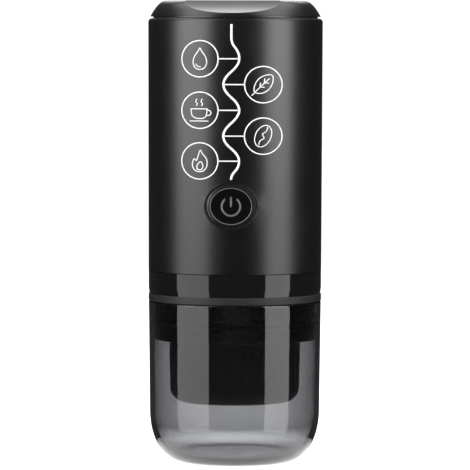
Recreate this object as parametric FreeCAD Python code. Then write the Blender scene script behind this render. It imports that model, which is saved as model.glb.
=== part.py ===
import FreeCAD, Part
import math
import os

# Portable battery espresso maker, built as an assembly of separate pieces.
# Millimetres, +Z up, the power button faces -Y, and the origin is the centre of the cup's foot.
# A polar angle is measured about Z from +X; "reach" is a distance from the axis towards the front.

# ---------------------------------------------------------------- driving dimensions

# Outer form: one radius leads, and the other rings and shells step in or out from it
body_radius = 37.9
body_flare = 0.3
body_length = 110.4
body_wall = 1.8
body_edge_round = 1.6
body_foot_chamfer = 0.3
band_inset = 0.05
band_height = 9.7
band_taper = 0.3
band_taper_height = 2.6
seat_ring_proud = 0.05
seat_ring_height = 3.4
seat_ring_round = 0.5
seat_ring_gap = 0.05

# Serving cup, which the machine stands on
cup_height = 70.4
cup_inset = 0.1
cup_taper = 0.55
cup_bend_height = 22.0
cup_foot_inset = 13.25
cup_wall = 2.0
cup_floor = 3.0
cup_rim_round = 0.5
cup_seat_gap = 0.1
foot_ring_width = 4.0
foot_recess_depth = 0.6

# Plug below the band, which the cup slides over
plug_length = 16.7
plug_clearance = 0.2
plug_wall = 2.0
plug_edge_chamfer = 0.7
neck_step = 0.3
oring_height_above_plug_end = 7.4
oring_section_radius = 0.7
oring_cup_gap = 0.05
oring_groove_width = 1.6
oring_groove_floor_gap = 0.05

# Base deck and spigot inside the body
deck_drop = 1.9
deck_thickness = 2.4
spigot_height = 8.4
spigot_clearance = 0.1
spigot_wall = 2.4

# Lid
lid_gap = 0.85
lid_seat_gap = 0.05
lid_height = 6.6
lid_inset = 0.9
lid_shoulder_lean = 3.6
lid_shoulder_width = 6.3
lid_top_wall = 1.9
lid_rim_width = 6.3
lid_cavity_lean = 2.0
scoop_lip_height = 1.0
scoop_depth_from_edge = 13.0
scoop_radius = 52.0
scoop_wall = 1.2
scoop_count = 2

# Lid liner and its seal
liner_flange_lap = 2.0
liner_flange_thickness = 0.7
liner_fit = 0.15
liner_depth = 8.3
liner_wall = 3.0
liner_floor = 1.5
liner_mouth_gap = 0.45
seal_groove_height = 3.0
seal_groove_depth = 1.5
seal_height_above_liner_end = 2.0
seal_clearance = 0.1
seal_mouth_gap = 0.05

# Tank collar, gasket, tank and sleeve
collar_height = 10.0
collar_clearance = 0.1
collar_wall = 4.25
collar_lip_thickness = 1.4
collar_lip_width = 2.35
collar_mouth_chamfer = 0.5
gasket_thickness = 1.2
tank_lip_gap = 0.4
tank_wall = 0.6
tank_corner = 4.0
tank_flange_thickness = 0.6
tank_flange_screw_gap = 0.6
sleeve_gap = 0.1
sleeve_wall = 1.0
sleeve_margin = 3.0
sleeve_chassis_gap = 0.3

# Heater stack under the tank
heater_inset = 0.6
heater_thickness = 4.5
shield_lap = 1.0
shield_thickness = 1.5
cutout_radius = 8.0
cutout_height = 4.0
cutout_gap = 0.5
tag_length = 4.0
tag_width = 3.0
tag_thickness = 0.8
terminal_spacing = 24.0
terminal_offset_y = 14.0
terminal_radius = 1.0
terminal_hole_gap = 0.5

# Tank outlet and hoses
outlet_x = 18.0
hose_inner_radius = 2.0
hose_wall = 1.0
fitting_bore = 1.1
tank_nipple_drop = 9.0
outlet_head_radius = 3.6
outlet_head_thickness = 1.2
fitting_gap = 0.1
hose_hole_gap = 1.0
hose_end_gap = 1.2
hose_bend_radius = 6.0

# Chassis
chassis_gap = 1.2
chassis_spigot_gap = 0.4
lower_deck_thickness = 1.8
mid_deck_thickness = 2.0
upper_ring_thickness = 2.4
upper_ring_wall_gap = 0.2
post_depth = 3.4
post_half_angle = 5.5
post_angles = (59.0, 121.0, -43.0, -137.0)
cradle_height = 3.0
cradle_front_y = 4.0

# Battery cells
cell_radius = 9.2
cell_length = 65.0
cell_wall_gap = 0.2
cell_angles = (28.0, 90.0, 152.0)
cell_cap_radius = 3.0
cell_cap_height = 0.6
cradle_clearance = 0.15
tab_thickness = 0.3
tab_width = 7.0

# Power button
button_rise = 29.7
button_half_width = 9.2
button_half_height = 8.05
button_recess = 0.2
button_gap = 0.15
button_travel = 0.6
button_flange = 0.8
button_flange_thickness = 1.0
button_flange_gap = 0.05
button_dish = 0.3
trim_width = 0.5
trim_depth = 1.0
trim_edge_round = 0.2
bezel_half_width = 11.7
bezel_half_height = 10.35
bezel_thickness = 3.8
bezel_lip_thickness = 2.0
bezel_stand = 0.6
bezel_crown = 0.22
bezel_inner_land = 0.25
bezel_outer_land = 0.1
bezel_rim_width = 0.5
bezel_groove_width = 0.6
bezel_groove_depth = 0.4
bezel_gap = 0.05
bezel_edge_round = 0.2
stem_radius = 2.0
stem_length = 0.75

# Tact switch and control board
switch_size = 6.0
switch_thickness = 2.4
plunger_radius = 1.6
plunger_length = 1.8
plunger_bore_gap = 0.1
board_wall_gap = 0.23
board_rise = 10.4
board_height = 42.0
board_thickness = 1.6
rail_width = 3.0
rail_depth = 3.5
board_screw_inset = 3.0
chip_size = 8.0
chip_thickness = 1.2
transistor_width = 6.0
transistor_height = 6.5
transistor_thickness = 1.6
transistor_spacing = 13.0
choke_radius = 2.4
choke_thickness = 2.0
component_margin = 3.0

# Motor
motor_board_gap = 3.88
motor_radius = 12.0
motor_length = 32.0
motor_wall = 0.8
motor_cap_thickness = 2.5
motor_boss_radius = 3.5
motor_boss_height = 2.0
shaft_radius = 1.5
running_clearance = 0.05
armature_margin = 5.0
armature_slot = 2.0
magnet_thickness = 1.5
magnet_half_angle = 65.0
magnet_air_gap = 0.7
shaft_top_stub = 1.0
commutator_radius = 3.0
commutator_length = 3.5

# Gear pump
gear_module = 0.9
gear_teeth = 12
gear_pressure_angle = 25.0
gear_backlash = 0.08
gear_root_clearance = 0.25
gear_width = 7.9
gear_side_gap = 0.05
gear_tip_gap = 0.1
pump_wall = 3.2
pump_floor = 2.5
pump_cover_thickness = 3.0
pump_lift = 8.1
port_radius = 1.6
port_overlap = 0.85
pin_bite = 2.0
pad_radius = 2.5
pad_edge_gap = 0.5
pad_offset = 2.0
nipple_length = 2.4

# Brew head, gasket and shower screen
head_depth = 15.0
head_flange_lap = 4.2
head_flange_thickness = 3.0
plenum_inset = 1.6
plenum_depth = 2.8
plenum_post_radius = 4.0
head_gasket_thickness = 2.4
head_gasket_margin = 0.2
screen_inset = 5.4
screen_thickness = 0.8
screen_gap = 0.2
screen_hole_radius = 0.7
screen_ring_counts = (12, 6)
screen_ring_margin = 5.6
screen_ring_pitch = 6.0
shower_screw_length = 9.0
shower_head_radius = 3.0
shower_head_height = 1.5

# Filter basket
basket_seal_gap = 0.1
basket_rim_gap = 0.5
basket_rim_width = 3.1
basket_rim_thickness = 0.5
basket_taper = 0.5
basket_depth = 22.0
basket_wall = 0.5
basket_floor = 0.6
basket_hole_radius = 0.8
basket_ring_counts = (12, 6, 1)
basket_ring_margin = 7.2
basket_ring_pitch = 7.4

# Capsule and basket holder
holder_plug_gap = 4.4
holder_rim_wall = 2.9
holder_taper = 0.7
holder_bottom_inset = 4.6
holder_height = 36.6
holder_bend_height = 4.9
holder_corner_weight = 0.35
holder_engagement = 6.0
holder_clearance = 0.1
holder_floor = 2.6
holder_basket_gap = 0.7
spout_radius = 1.9
spout_wall = 1.6
holder_dish_inset = 8.7
holder_dish_depth = 1.0
flute_count = 44
flute_radius = 1.5
flute_depth = 0.4
flute_bottom_margin = 5.4
flute_length = 18.6

# Charging socket, its board and its cover
port_angle = -18.0
socket_half_width = 4.47
socket_half_height = 1.63
socket_wall = 0.3
socket_back = 1.0
socket_length = 7.3
socket_hole_gap = 0.1
socket_cover_gap = 0.15
tongue_half_width = 3.3
tongue_thickness = 0.7
tongue_set_back = 1.8
charge_board_thickness = 0.9
charge_board_half_width = 7.0
charge_board_length = 12.0
charge_board_edge_gap = 1.2
cover_half_width = 6.1
cover_half_height = 3.0
cover_thickness = 1.15
cover_gap = 0.15
cover_flush = 0.05
cover_plug_half_width = 3.6
cover_plug_half_height = 0.95
cover_plug_length = 1.4
bead_radius = 0.9
bead_offset = 0.8
bead_skin = 0.1
hinge_room = 1.45

# Screws
screw_radius = 1.1
screw_head_radius = 1.9
screw_head_height = 1.6
screw_hole_gap = 0.15
scallop_gap = 0.3
chassis_screw_inset = 1.9
chassis_screw_length = 9.0
chassis_boss_radius = 2.6
head_screw_inset = 2.0
head_screw_length = 5.2
head_screw_angles = (0.0, 90.0, 180.0, 270.0)
collar_screw_inset = 2.1
collar_screw_length = 8.0
collar_screw_angles = (0.0, 90.0, 180.0, 270.0)
small_screw_radius = 0.8
small_head_radius = 1.5
small_head_height = 1.1
board_screw_length = 4.6
pump_screw_circle = 8.1
pump_screw_length = 11.5
motor_side_screw_angles = (-60.0, -120.0)
idler_side_screw_angles = (40.0, 140.0)

# ---------------------------------------------------------------- heights, worked out from the foot up

seat_ring_z = cup_height + cup_seat_gap
band_z = seat_ring_z + seat_ring_height
body_z = band_z + band_height
body_top_z = body_z + body_length
lid_z = body_top_z + lid_gap + lid_seat_gap
lid_top_z = lid_z + lid_height

plug_end_z = seat_ring_z - plug_length
deck_z = band_z - deck_drop
deck_top_z = deck_z + deck_thickness
spigot_top_z = body_z + spigot_height

lower_deck_z = deck_top_z + chassis_gap
lower_deck_top_z = lower_deck_z + lower_deck_thickness
cell_z = lower_deck_top_z + tab_thickness
cell_top_z = cell_z + cell_length
mid_deck_z = cell_top_z + tab_thickness
mid_deck_top_z = mid_deck_z + mid_deck_thickness
heater_z = mid_deck_top_z + shield_thickness
tank_z = heater_z + heater_thickness

collar_top_z = body_top_z + lid_gap
collar_z = collar_top_z - collar_height
tank_top_z = collar_z - gasket_thickness
tank_flange_z = tank_top_z - tank_flange_thickness
upper_ring_z = tank_flange_z - upper_ring_thickness

pump_z = lower_deck_top_z + pump_lift
gear_z = pump_z + pump_floor
pump_case_top_z = gear_z + gear_width + 2 * gear_side_gap
motor_z = pump_case_top_z + pump_cover_thickness
motor_top_z = motor_z + motor_length

head_z = deck_z - head_depth
basket_rim_z = head_z - head_gasket_thickness - basket_seal_gap - basket_rim_thickness
holder_top_z = head_z + holder_engagement
holder_z = holder_top_z - holder_height
oring_z = plug_end_z + oring_height_above_plug_end
button_height = body_z + button_rise
board_bottom_z = body_z + board_rise
inlet_z = gear_z + gear_width / 2
port_z = lower_deck_top_z + charge_board_thickness + socket_half_height

# ---------------------------------------------------------------- radii and places, worked out

body_top_radius = body_radius + body_flare
body_bore = body_radius - body_wall
band_radius = body_radius - band_inset
seat_ring_radius = band_radius + seat_ring_proud

cup_rim_radius = seat_ring_radius - cup_inset
cup_bend_radius = cup_rim_radius - cup_taper
cup_foot_radius = cup_bend_radius - cup_foot_inset


def cup_inside_at(z):
    """Radius of the cup's straight inner wall at a height."""
    slope = cup_taper / (cup_height - cup_bend_height)
    return cup_rim_radius - cup_wall - slope * (cup_height - z)


plug_radius = cup_inside_at(plug_end_z) - plug_clearance
plug_bore = plug_radius - plug_wall
neck_radius = plug_radius + neck_step
oring_radius = cup_inside_at(oring_z) - oring_cup_gap - oring_section_radius

spigot_radius = body_bore - spigot_clearance
spigot_bore = spigot_radius - spigot_wall
chassis_radius = spigot_bore - chassis_spigot_gap
chassis_screw_circle = chassis_radius - chassis_screw_inset
cell_circle_radius = chassis_radius - cell_radius - cell_wall_gap

holder_top_radius = plug_bore - holder_plug_gap
holder_bend_radius = holder_top_radius - holder_taper
holder_bottom_radius = holder_bend_radius - holder_bottom_inset
head_radius = holder_top_radius - holder_rim_wall - holder_clearance
head_flange_radius = head_radius + head_flange_lap
head_screw_circle = head_flange_radius - head_screw_inset
screen_radius = head_radius - screen_inset
basket_rim_radius = head_radius + holder_clearance - basket_rim_gap
basket_top_radius = basket_rim_radius - basket_rim_width
basket_bottom_radius = basket_top_radius - basket_taper

collar_radius = body_bore - collar_clearance
collar_screw_circle = collar_radius - collar_screw_inset
mouth_radius = collar_radius - collar_wall
collar_lip_radius = mouth_radius - collar_lip_width
liner_radius = mouth_radius - liner_mouth_gap
lid_base_radius = body_top_radius - lid_inset
lid_cavity_radius = lid_base_radius - lid_rim_width
liner_flange_radius = lid_cavity_radius + liner_flange_lap

tank_inner_radius = collar_lip_radius - tank_lip_gap
tank_outer_radius = tank_inner_radius + tank_wall
tank_flange_radius = collar_screw_circle - screw_radius - tank_flange_screw_gap
sleeve_outer_radius = tank_outer_radius + sleeve_gap + sleeve_wall
upper_ring_bore = sleeve_outer_radius + sleeve_chassis_gap
heater_radius = tank_outer_radius - tank_corner - heater_inset


ORIGIN = FreeCAD.Vector(0, 0, 0)
X_AXIS = FreeCAD.Vector(1, 0, 0)
Z_AXIS = FreeCAD.Vector(0, 0, 1)


def body_radius_at(z):
    """Outer radius of the slightly tapered body shell at a height."""
    return body_radius + body_flare * (z - body_z) / body_length


bezel_rim_reach = body_radius_at(button_height) + bezel_stand
bezel_reach = bezel_rim_reach + bezel_crown
button_reach = bezel_reach - button_recess
bezel_back_reach = bezel_rim_reach - bezel_thickness
flange_reach = bezel_rim_reach - bezel_lip_thickness - button_flange_gap
stem_reach = flange_reach - button_flange_thickness - stem_length
switch_reach = stem_reach - plunger_length / 2
board_reach = switch_reach - switch_thickness
board_screw_reach = board_reach + small_head_height
board_screw_room = math.sqrt((body_bore - board_wall_gap) ** 2 - board_screw_reach ** 2)
board_width = 2 * (board_screw_room - small_head_radius) + rail_width

hose_radius = hose_inner_radius + hose_wall
pitch_radius = gear_module * gear_teeth / 2
gear_tip_radius = pitch_radius + gear_module
motor_y = -(board_reach - board_thickness - motor_board_gap - motor_radius)
idler_y = motor_y + 2 * pitch_radius
mesh_y = motor_y + pitch_radius
gear_cavity_radius = gear_tip_radius + gear_tip_gap
pump_radius = gear_cavity_radius + pump_wall
waist_half_width = math.sqrt(gear_cavity_radius ** 2 - pitch_radius ** 2)
brew_port_x = -(waist_half_width + port_radius - port_overlap)


# ---------------------------------------------------------------- shared shapes

def cylinder(radius, z_low, z_high, x=0.0, y=0.0):
    """Upright cylinder between two heights."""
    return Part.makeCylinder(radius, z_high - z_low, FreeCAD.Vector(x, y, z_low))


def ring(outer, inner, z_low, z_high, x=0.0, y=0.0):
    """Upright tube between two heights."""
    return cylinder(outer, z_low, z_high, x, y).cut(cylinder(inner, z_low, z_high, x, y))


def block(x_low, x_high, y_low, y_high, z_low, z_high):
    """Box between two corners."""
    corner = FreeCAD.Vector(x_low, y_low, z_low)
    return Part.makeBox(x_high - x_low, y_high - y_low, z_high - z_low, corner)


def rod_x(radius, x_low, x_high, y, z):
    """Cylinder that lies along X."""
    return Part.makeCylinder(radius, x_high - x_low, FreeCAD.Vector(x_low, y, z), X_AXIS)


def polar(radius, angle):
    """X and Y of a point at a radius and an angle in degrees."""
    turn = math.radians(angle)
    return radius * math.cos(turn), radius * math.sin(turn)


def at_angles(shape, angles):
    """Copies of a shape turned about Z, as a list."""
    return [turned(shape, angle) for angle in angles]


def turned(shape, angle):
    """One copy of a shape turned about Z."""
    copy = shape.copy()
    copy.rotate(ORIGIN, Z_AXIS, angle)
    return copy


def evenly(count):
    """Angles that divide a full turn."""
    return [360.0 * i / count for i in range(round(count))]


def curve_to(start, corner, end, weight=math.sqrt(0.5)):
    """Outline edge from start to end that bends inside the corner; the usual weight makes a quarter ellipse."""
    bend = Part.BezierCurve()
    bend.setPoles([FreeCAD.Vector(r, z, 0) for r, z in (start, corner, end)])
    bend.setWeight(2, weight)
    return bend.toShape()


def lines(*points):
    """Straight outline edges through (radius, height) points."""
    places = [FreeCAD.Vector(r, z, 0) for r, z in points]
    return [Part.makeLine(a, b) for a, b in zip(places, places[1:])]


def revolve_edges(edges):
    """Solid of revolution about Z from the closed outline edges, drawn as (radius, height)."""
    face = Part.Face(Part.Wire(Part.__sortEdges__(edges)))
    face.rotate(ORIGIN, X_AXIS, 90)
    return face.revolve(ORIGIN, Z_AXIS, 360)


def revolve(*points):
    """Solid of revolution about Z from the corners of a closed outline."""
    return revolve_edges(lines(*points, points[0]))


def oval(half_width, half_height, low, high):
    """Elliptical prism that points at the front, between two reaches, centred on the button."""
    wide = half_width >= half_height
    major, minor = (half_width, half_height) if wide else (half_height, half_width)
    outline = Part.Ellipse(FreeCAD.Vector(0, 0, 0), major, minor).toShape()
    face = Part.Face(Part.Wire(outline))
    if not wide:
        face.rotate(ORIGIN, Z_AXIS, 90)
    return to_front(face.extrude(FreeCAD.Vector(0, 0, high - low)), low)


def oval_cone(half_width, half_height, flare, low, high):
    """Elliptical prism like oval, wider by flare at its low end."""
    wires = []
    for grow, reach in ((flare, 0.0), (0.0, high - low)):
        edge = oval_edge(half_width + grow, half_height + grow)
        edge.translate(FreeCAD.Vector(0, 0, reach))
        wires.append(Part.Wire(edge))
    return to_front(Part.makeLoft(wires, True), low)


def oval_edge(half_width, half_height):
    """Ellipse edge in the XY plane, whichever way it is longer."""
    edge = Part.Ellipse(FreeCAD.Vector(0, 0, 0), max(half_width, half_height),
                        min(half_width, half_height)).toShape()
    if half_height > half_width:
        edge.rotate(ORIGIN, Z_AXIS, 90)
    return edge


def to_front(shape, reach):
    """Stands a shape drawn along +Z so that it points at the front, starting at a reach."""
    shape.translate(FreeCAD.Vector(0, 0, reach))
    shape.rotate(ORIGIN, X_AXIS, 90)
    shape.translate(FreeCAD.Vector(0, 0, button_height))
    return shape


def sector(outer, inner, half_angle, z_low, z_high, angle):
    """Piece of a tube that spans half_angle each way from a polar angle."""
    wedge = Part.makeCylinder(outer, z_high - z_low, FreeCAD.Vector(0, 0, z_low), Z_AXIS, 2 * half_angle)
    wedge.rotate(ORIGIN, Z_AXIS, angle - half_angle)
    return wedge.cut(cylinder(inner, z_low, z_high))


def capsule_x(half_width, half_height, x_low, x_high, z):
    """Prism along X with a rounded-end slot section, as a charging socket has."""
    flat = half_width - half_height
    solid = block(x_low, x_high, -flat, flat, z - half_height, z + half_height)
    for side in (-flat, flat):
        solid = solid.fuse(rod_x(half_height, x_low, x_high, side, z))
    return solid.removeSplitter()


def stadium(radius, z_low, z_high):
    """Upright prism around the two gear axes."""
    solid = block(-radius, radius, motor_y, idler_y, z_low, z_high)
    for y in (motor_y, idler_y):
        solid = solid.fuse(cylinder(radius, z_low, z_high, 0, y))
    return solid.removeSplitter()


def tube_along(points, bend_radius, outer, inner):
    """Hose through a right-angle corner: straight, bend, straight."""
    start, corner, end = [FreeCAD.Vector(*p) for p in points]
    into = (corner - start).normalize()
    out = (end - corner).normalize()
    bend_start = corner - into * bend_radius
    bend_end = corner + out * bend_radius
    centre = bend_start + out * bend_radius
    middle = centre + (corner - centre).normalize() * bend_radius
    path = Part.Wire([
        Part.makeLine(start, bend_start),
        Part.Arc(bend_start, middle, bend_end).toShape(),
        Part.makeLine(bend_end, end),
    ])
    skins = []
    for radius in (outer, inner):
        section = Part.Wire(Part.makeCircle(radius, start, into))
        skins.append(path.makePipeShell([section], True, False))
    return skins[0].cut(skins[1])


def screw(x, y, seat_z, length, radius, head_radius, head_height, up=True):
    """Screw whose head's seat is at seat_z; the shank goes up, or down if up is False."""
    way = 1 if up else -1
    shank_z = sorted((seat_z, seat_z + way * length))
    head_z_range = sorted((seat_z, seat_z - way * head_height))
    shank = cylinder(radius, shank_z[0], shank_z[1], x, y)
    return shank.fuse(cylinder(head_radius, head_z_range[0], head_z_range[1], x, y))


def holes(radius, z_low, z_high, circle, angles):
    """Upright hole cutters on a circle."""
    return [cylinder(radius, z_low, z_high, *polar(circle, angle)) for angle in angles]


# ---------------------------------------------------------------- cup and base

def make_cup():
    """Thick-walled clear cup whose sides curve in to a narrow foot ring."""
    bend_z = cup_bend_height
    inner_rim = cup_rim_radius - cup_wall
    inner_bend = cup_bend_radius - cup_wall
    recess = cup_foot_radius - foot_ring_width
    outer_foot = (cup_foot_radius, 0)
    inner_foot = (cup_foot_radius, cup_floor)
    outline = [
        curve_to(outer_foot, (cup_bend_radius, 0), (cup_bend_radius, bend_z)),
        curve_to((inner_bend, bend_z), (inner_bend, cup_floor), inner_foot),
    ]
    outline += lines((cup_bend_radius, bend_z), (cup_rim_radius, cup_height - cup_rim_round))
    outline.append(curve_to(
        (cup_rim_radius, cup_height - cup_rim_round), (cup_rim_radius, cup_height),
        (cup_rim_radius - cup_rim_round, cup_height)))
    outline += lines((cup_rim_radius - cup_rim_round, cup_height), (inner_rim, cup_height),
                     (inner_bend, bend_z))
    outline += lines(inner_foot, (0, cup_floor), (0, foot_recess_depth),
                     (recess, foot_recess_depth), (recess, 0), outer_foot)
    return revolve_edges(outline)


def make_seat_ring():
    """Soft ring between the glossy band and the cup's rim."""
    top = band_z
    bottom = seat_ring_z
    inner = neck_radius + seat_ring_gap
    edge = seat_ring_round
    outline = lines((inner, bottom), (seat_ring_radius - edge, bottom))
    outline.append(curve_to((seat_ring_radius - edge, bottom), (seat_ring_radius, bottom),
                            (seat_ring_radius, bottom + edge)))
    outline += lines((seat_ring_radius, bottom + edge), (seat_ring_radius, top - edge))
    outline.append(curve_to((seat_ring_radius, top - edge), (seat_ring_radius, top),
                            (seat_ring_radius - edge, top)))
    outline += lines((seat_ring_radius - edge, top), (inner, top), (inner, bottom))
    return revolve_edges(outline)


def make_cup_oring():
    """O-ring that grips the inside of the cup."""
    return Part.makeTorus(oring_radius, oring_section_radius, FreeCAD.Vector(0, 0, oring_z))


def port_cutters():
    """Pocket for the charging cover, its hinge bead and the socket's hole, in place."""
    outside = band_radius + cover_thickness
    bead_x, bead_y = bead_place()
    low = port_z - cover_half_height - cover_gap
    high = port_z + cover_half_height + cover_gap
    pocket = block(0, outside, -cover_half_width - cover_gap, bead_y + hinge_room, low, high)
    pocket = pocket.cut(cylinder(band_radius - cover_flush - cover_thickness, deck_top_z, body_top_z))
    bead = cylinder(bead_radius + cover_gap, low, high, bead_x, bead_y)
    hole = capsule_x(socket_half_width + socket_hole_gap, socket_half_height + socket_hole_gap,
                     chassis_radius - socket_length, outside, port_z)
    return turned(pocket.fuse([bead, hole]), port_angle)


def bead_place():
    """Hinge bead's axis, in the socket's own frame with X pointing outwards."""
    y = cover_half_width + bead_offset
    radius = band_radius - cover_flush - bead_radius - bead_skin
    return math.sqrt(radius ** 2 - y ** 2), y


def make_base_collar():
    """Glossy band with the spigot inside the body above it and the plug for the cup below."""
    groove_half = oring_groove_width / 2
    groove_floor = oring_radius - oring_section_radius - oring_groove_floor_gap
    solid = revolve(
        (spigot_bore, deck_top_z), (spigot_bore, spigot_top_z), (spigot_radius, spigot_top_z),
        (spigot_radius, body_z), (band_radius, body_z), (band_radius, band_z + band_taper_height),
        (band_radius - band_taper, band_z), (neck_radius, band_z), (neck_radius, seat_ring_z),
        (plug_radius, seat_ring_z), (plug_radius, oring_z + groove_half),
        (groove_floor, oring_z + groove_half), (groove_floor, oring_z - groove_half),
        (plug_radius, oring_z - groove_half), (plug_radius, plug_end_z + plug_edge_chamfer),
        (plug_radius - plug_edge_chamfer, plug_end_z), (plug_bore, plug_end_z),
        (plug_bore, deck_z), (0, deck_z), (0, deck_top_z))
    bosses = holes(chassis_boss_radius, deck_top_z, lower_deck_z, chassis_screw_circle, post_angles)
    solid = solid.fuse(bosses)
    hole = screw_radius + screw_hole_gap
    cutters = holes(hole, deck_z, lower_deck_z, chassis_screw_circle, post_angles)
    cutters += holes(screw_radius, deck_z, deck_top_z, head_screw_circle, head_screw_angles)
    cutters.append(cylinder(hose_radius + hose_hole_gap, deck_z, deck_top_z, brew_port_x, mesh_y))
    cutters.append(port_cutters())
    return solid.cut(cutters)


# ---------------------------------------------------------------- brew head and holder

def make_brew_head():
    """Head with a nipple for the pump's hose on top and a shallow plenum above the screen."""
    body = revolve((0, head_z), (head_radius, head_z), (head_radius, deck_z - head_flange_thickness),
                   (head_flange_radius, deck_z - head_flange_thickness), (head_flange_radius, deck_z),
                   (0, deck_z))
    body = body.fuse(cylinder(hose_inner_radius, deck_z, brew_nipple_top_z(), brew_port_x, mesh_y))
    cutters = [
        ring(screen_radius - plenum_inset, plenum_post_radius, head_z, head_z + plenum_depth),
        cylinder(fitting_bore, head_z, brew_nipple_top_z(), brew_port_x, mesh_y),
        cylinder(screw_radius, head_z, head_z + shower_screw_length, 0, 0),
    ]
    cutters += holes(screw_radius + screw_hole_gap, head_z, deck_z, head_screw_circle,
                     head_screw_angles)
    cutters += holes(screw_head_radius + scallop_gap, head_z, deck_z, chassis_screw_circle, post_angles)
    return body.cut(cutters)


def brew_nipple_top_z():
    """Top of the brew head's nipple, short of the pump's by the hose's bridged gap."""
    return pump_z - nipple_length - hose_end_gap


def make_head_gasket():
    """Silicone ring that seals on the basket's rim."""
    return ring(head_radius - head_gasket_margin, screen_radius + screen_gap,
                head_z - head_gasket_thickness, head_z)


def make_shower_screen():
    """Perforated disc that spreads the water over the coffee."""
    disc = cylinder(screen_radius, head_z - screen_thickness, head_z)
    cutters = [cylinder(screw_radius + screw_hole_gap, head_z - screen_thickness, head_z)]
    for place, count in enumerate(screen_ring_counts):
        circle = screen_radius - screen_ring_margin - place * screen_ring_pitch
        cutters += holes(screen_hole_radius, head_z - screen_thickness, head_z, circle, evenly(count))
    return disc.cut(cutters)


def make_shower_screw():
    """Pan-head screw through the middle of the screen."""
    return screw(0, 0, head_z - screen_thickness, screen_thickness + shower_screw_length,
                 screw_radius, shower_head_radius, shower_head_height)


def make_filter_basket():
    """Pressed basket with a flat rim and a perforated floor."""
    rim_top = basket_rim_z + basket_rim_thickness
    floor_z = basket_rim_z - basket_depth
    solid = revolve(
        (0, floor_z), (basket_bottom_radius, floor_z), (basket_top_radius, basket_rim_z),
        (basket_rim_radius, basket_rim_z), (basket_rim_radius, rim_top),
        (basket_top_radius - basket_wall, rim_top),
        (basket_bottom_radius - basket_wall, floor_z + basket_floor), (0, floor_z + basket_floor))
    cutters = []
    for place, count in enumerate(basket_ring_counts):
        circle = basket_bottom_radius - basket_ring_margin - place * basket_ring_pitch
        if count == 1:
            circle = 0.0
        cutters += holes(basket_hole_radius, floor_z, floor_z + basket_floor, circle, evenly(count))
    return solid.cut(cutters)


def make_capsule_holder():
    """Fluted cup that carries the basket and screws over the brew head."""
    bend_z = holder_z + holder_bend_height
    floor_z = holder_z + holder_floor
    over_head = head_radius + holder_clearance
    room = basket_top_radius + holder_basket_gap
    outline = lines((holder_top_radius, holder_top_z), (holder_bend_radius, bend_z))
    outline.append(curve_to((holder_bend_radius, bend_z), (holder_bend_radius, holder_z),
                            (holder_bottom_radius, holder_z), weight=holder_corner_weight))
    dish_radius = holder_bottom_radius - holder_dish_inset
    outline += lines(
        (holder_bottom_radius, holder_z), (dish_radius, holder_z),
        (dish_radius - holder_dish_depth, holder_z + holder_dish_depth),
        (spout_radius + spout_wall, holder_z + holder_dish_depth),
        (spout_radius + spout_wall, holder_z), (spout_radius, holder_z), (spout_radius, floor_z),
        (room, floor_z), (room, basket_rim_z), (over_head, basket_rim_z),
        (over_head, holder_top_z), (holder_top_radius, holder_top_z))
    solid = revolve_edges(outline)
    flute_z = holder_z + flute_bottom_margin
    rise = (flute_bottom_margin + flute_length / 2 - holder_bend_height) / (holder_height - holder_bend_height)
    circle = holder_bend_radius + holder_taper * rise - flute_depth + flute_radius
    return solid.cut(holes(flute_radius, flute_z, flute_z + flute_length, circle, evenly(flute_count)))


# ---------------------------------------------------------------- body shell and button

def make_body_shell():
    """Tapered housing tube with an oval hole for the button's bezel."""
    edge = body_edge_round
    foot = body_foot_chamfer
    outline = lines((0, body_z), (body_radius - foot, body_z), (body_radius, body_z + foot),
                    (body_top_radius, body_top_z - edge))
    outline.append(curve_to((body_top_radius, body_top_z - edge), (body_top_radius, body_top_z),
                            (body_top_radius - edge, body_top_z)))
    outline += lines((body_top_radius - edge, body_top_z), (0, body_top_z), (0, body_z))
    tube = revolve_edges(outline).cut(cylinder(body_bore, body_z, body_top_z))
    return tube.cut(oval(bezel_half_width + bezel_gap, bezel_half_height + bezel_gap, 0, bezel_reach))


def round_front(solid, reach, radius):
    """Rounds the edges that lie in the flat front face at a reach."""
    flat = [edge for edge in solid.Edges if abs(edge.BoundBox.YMin + reach) < 0.001
            and edge.BoundBox.YLength < 0.001]
    return solid.makeFillet(radius, flat)


def make_button_bezel():
    """Oval ring with a rim, a groove and a crowned face, stepped inside to hold the button's flange."""
    ring_solid = oval(bezel_half_width, bezel_half_height, bezel_back_reach, bezel_rim_reach)
    groove = [oval(bezel_half_width - inset, bezel_half_height - inset,
                   bezel_rim_reach - bezel_groove_depth, bezel_rim_reach)
              for inset in (bezel_rim_width, bezel_rim_width + bezel_groove_width)]
    rim = round_front(ring_solid.cut(groove[0].cut(groove[1])), bezel_rim_reach, bezel_edge_round)
    land = button_gap + bezel_inner_land
    foot = bezel_rim_width + bezel_groove_width + bezel_edge_round + bezel_outer_land
    crown = oval_cone(button_half_width + land, button_half_height + land,
                      bezel_half_width - foot - button_half_width - land, bezel_rim_reach, bezel_reach)
    lip_hole = oval(button_half_width + button_gap, button_half_height + button_gap,
                    bezel_back_reach, bezel_reach)
    room = button_flange + 2 * button_gap
    counterbore = oval(button_half_width + room, button_half_height + room,
                       bezel_back_reach, bezel_rim_reach - bezel_lip_thickness)
    return rim.fuse(crown).cut([lip_hole, counterbore])


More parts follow.
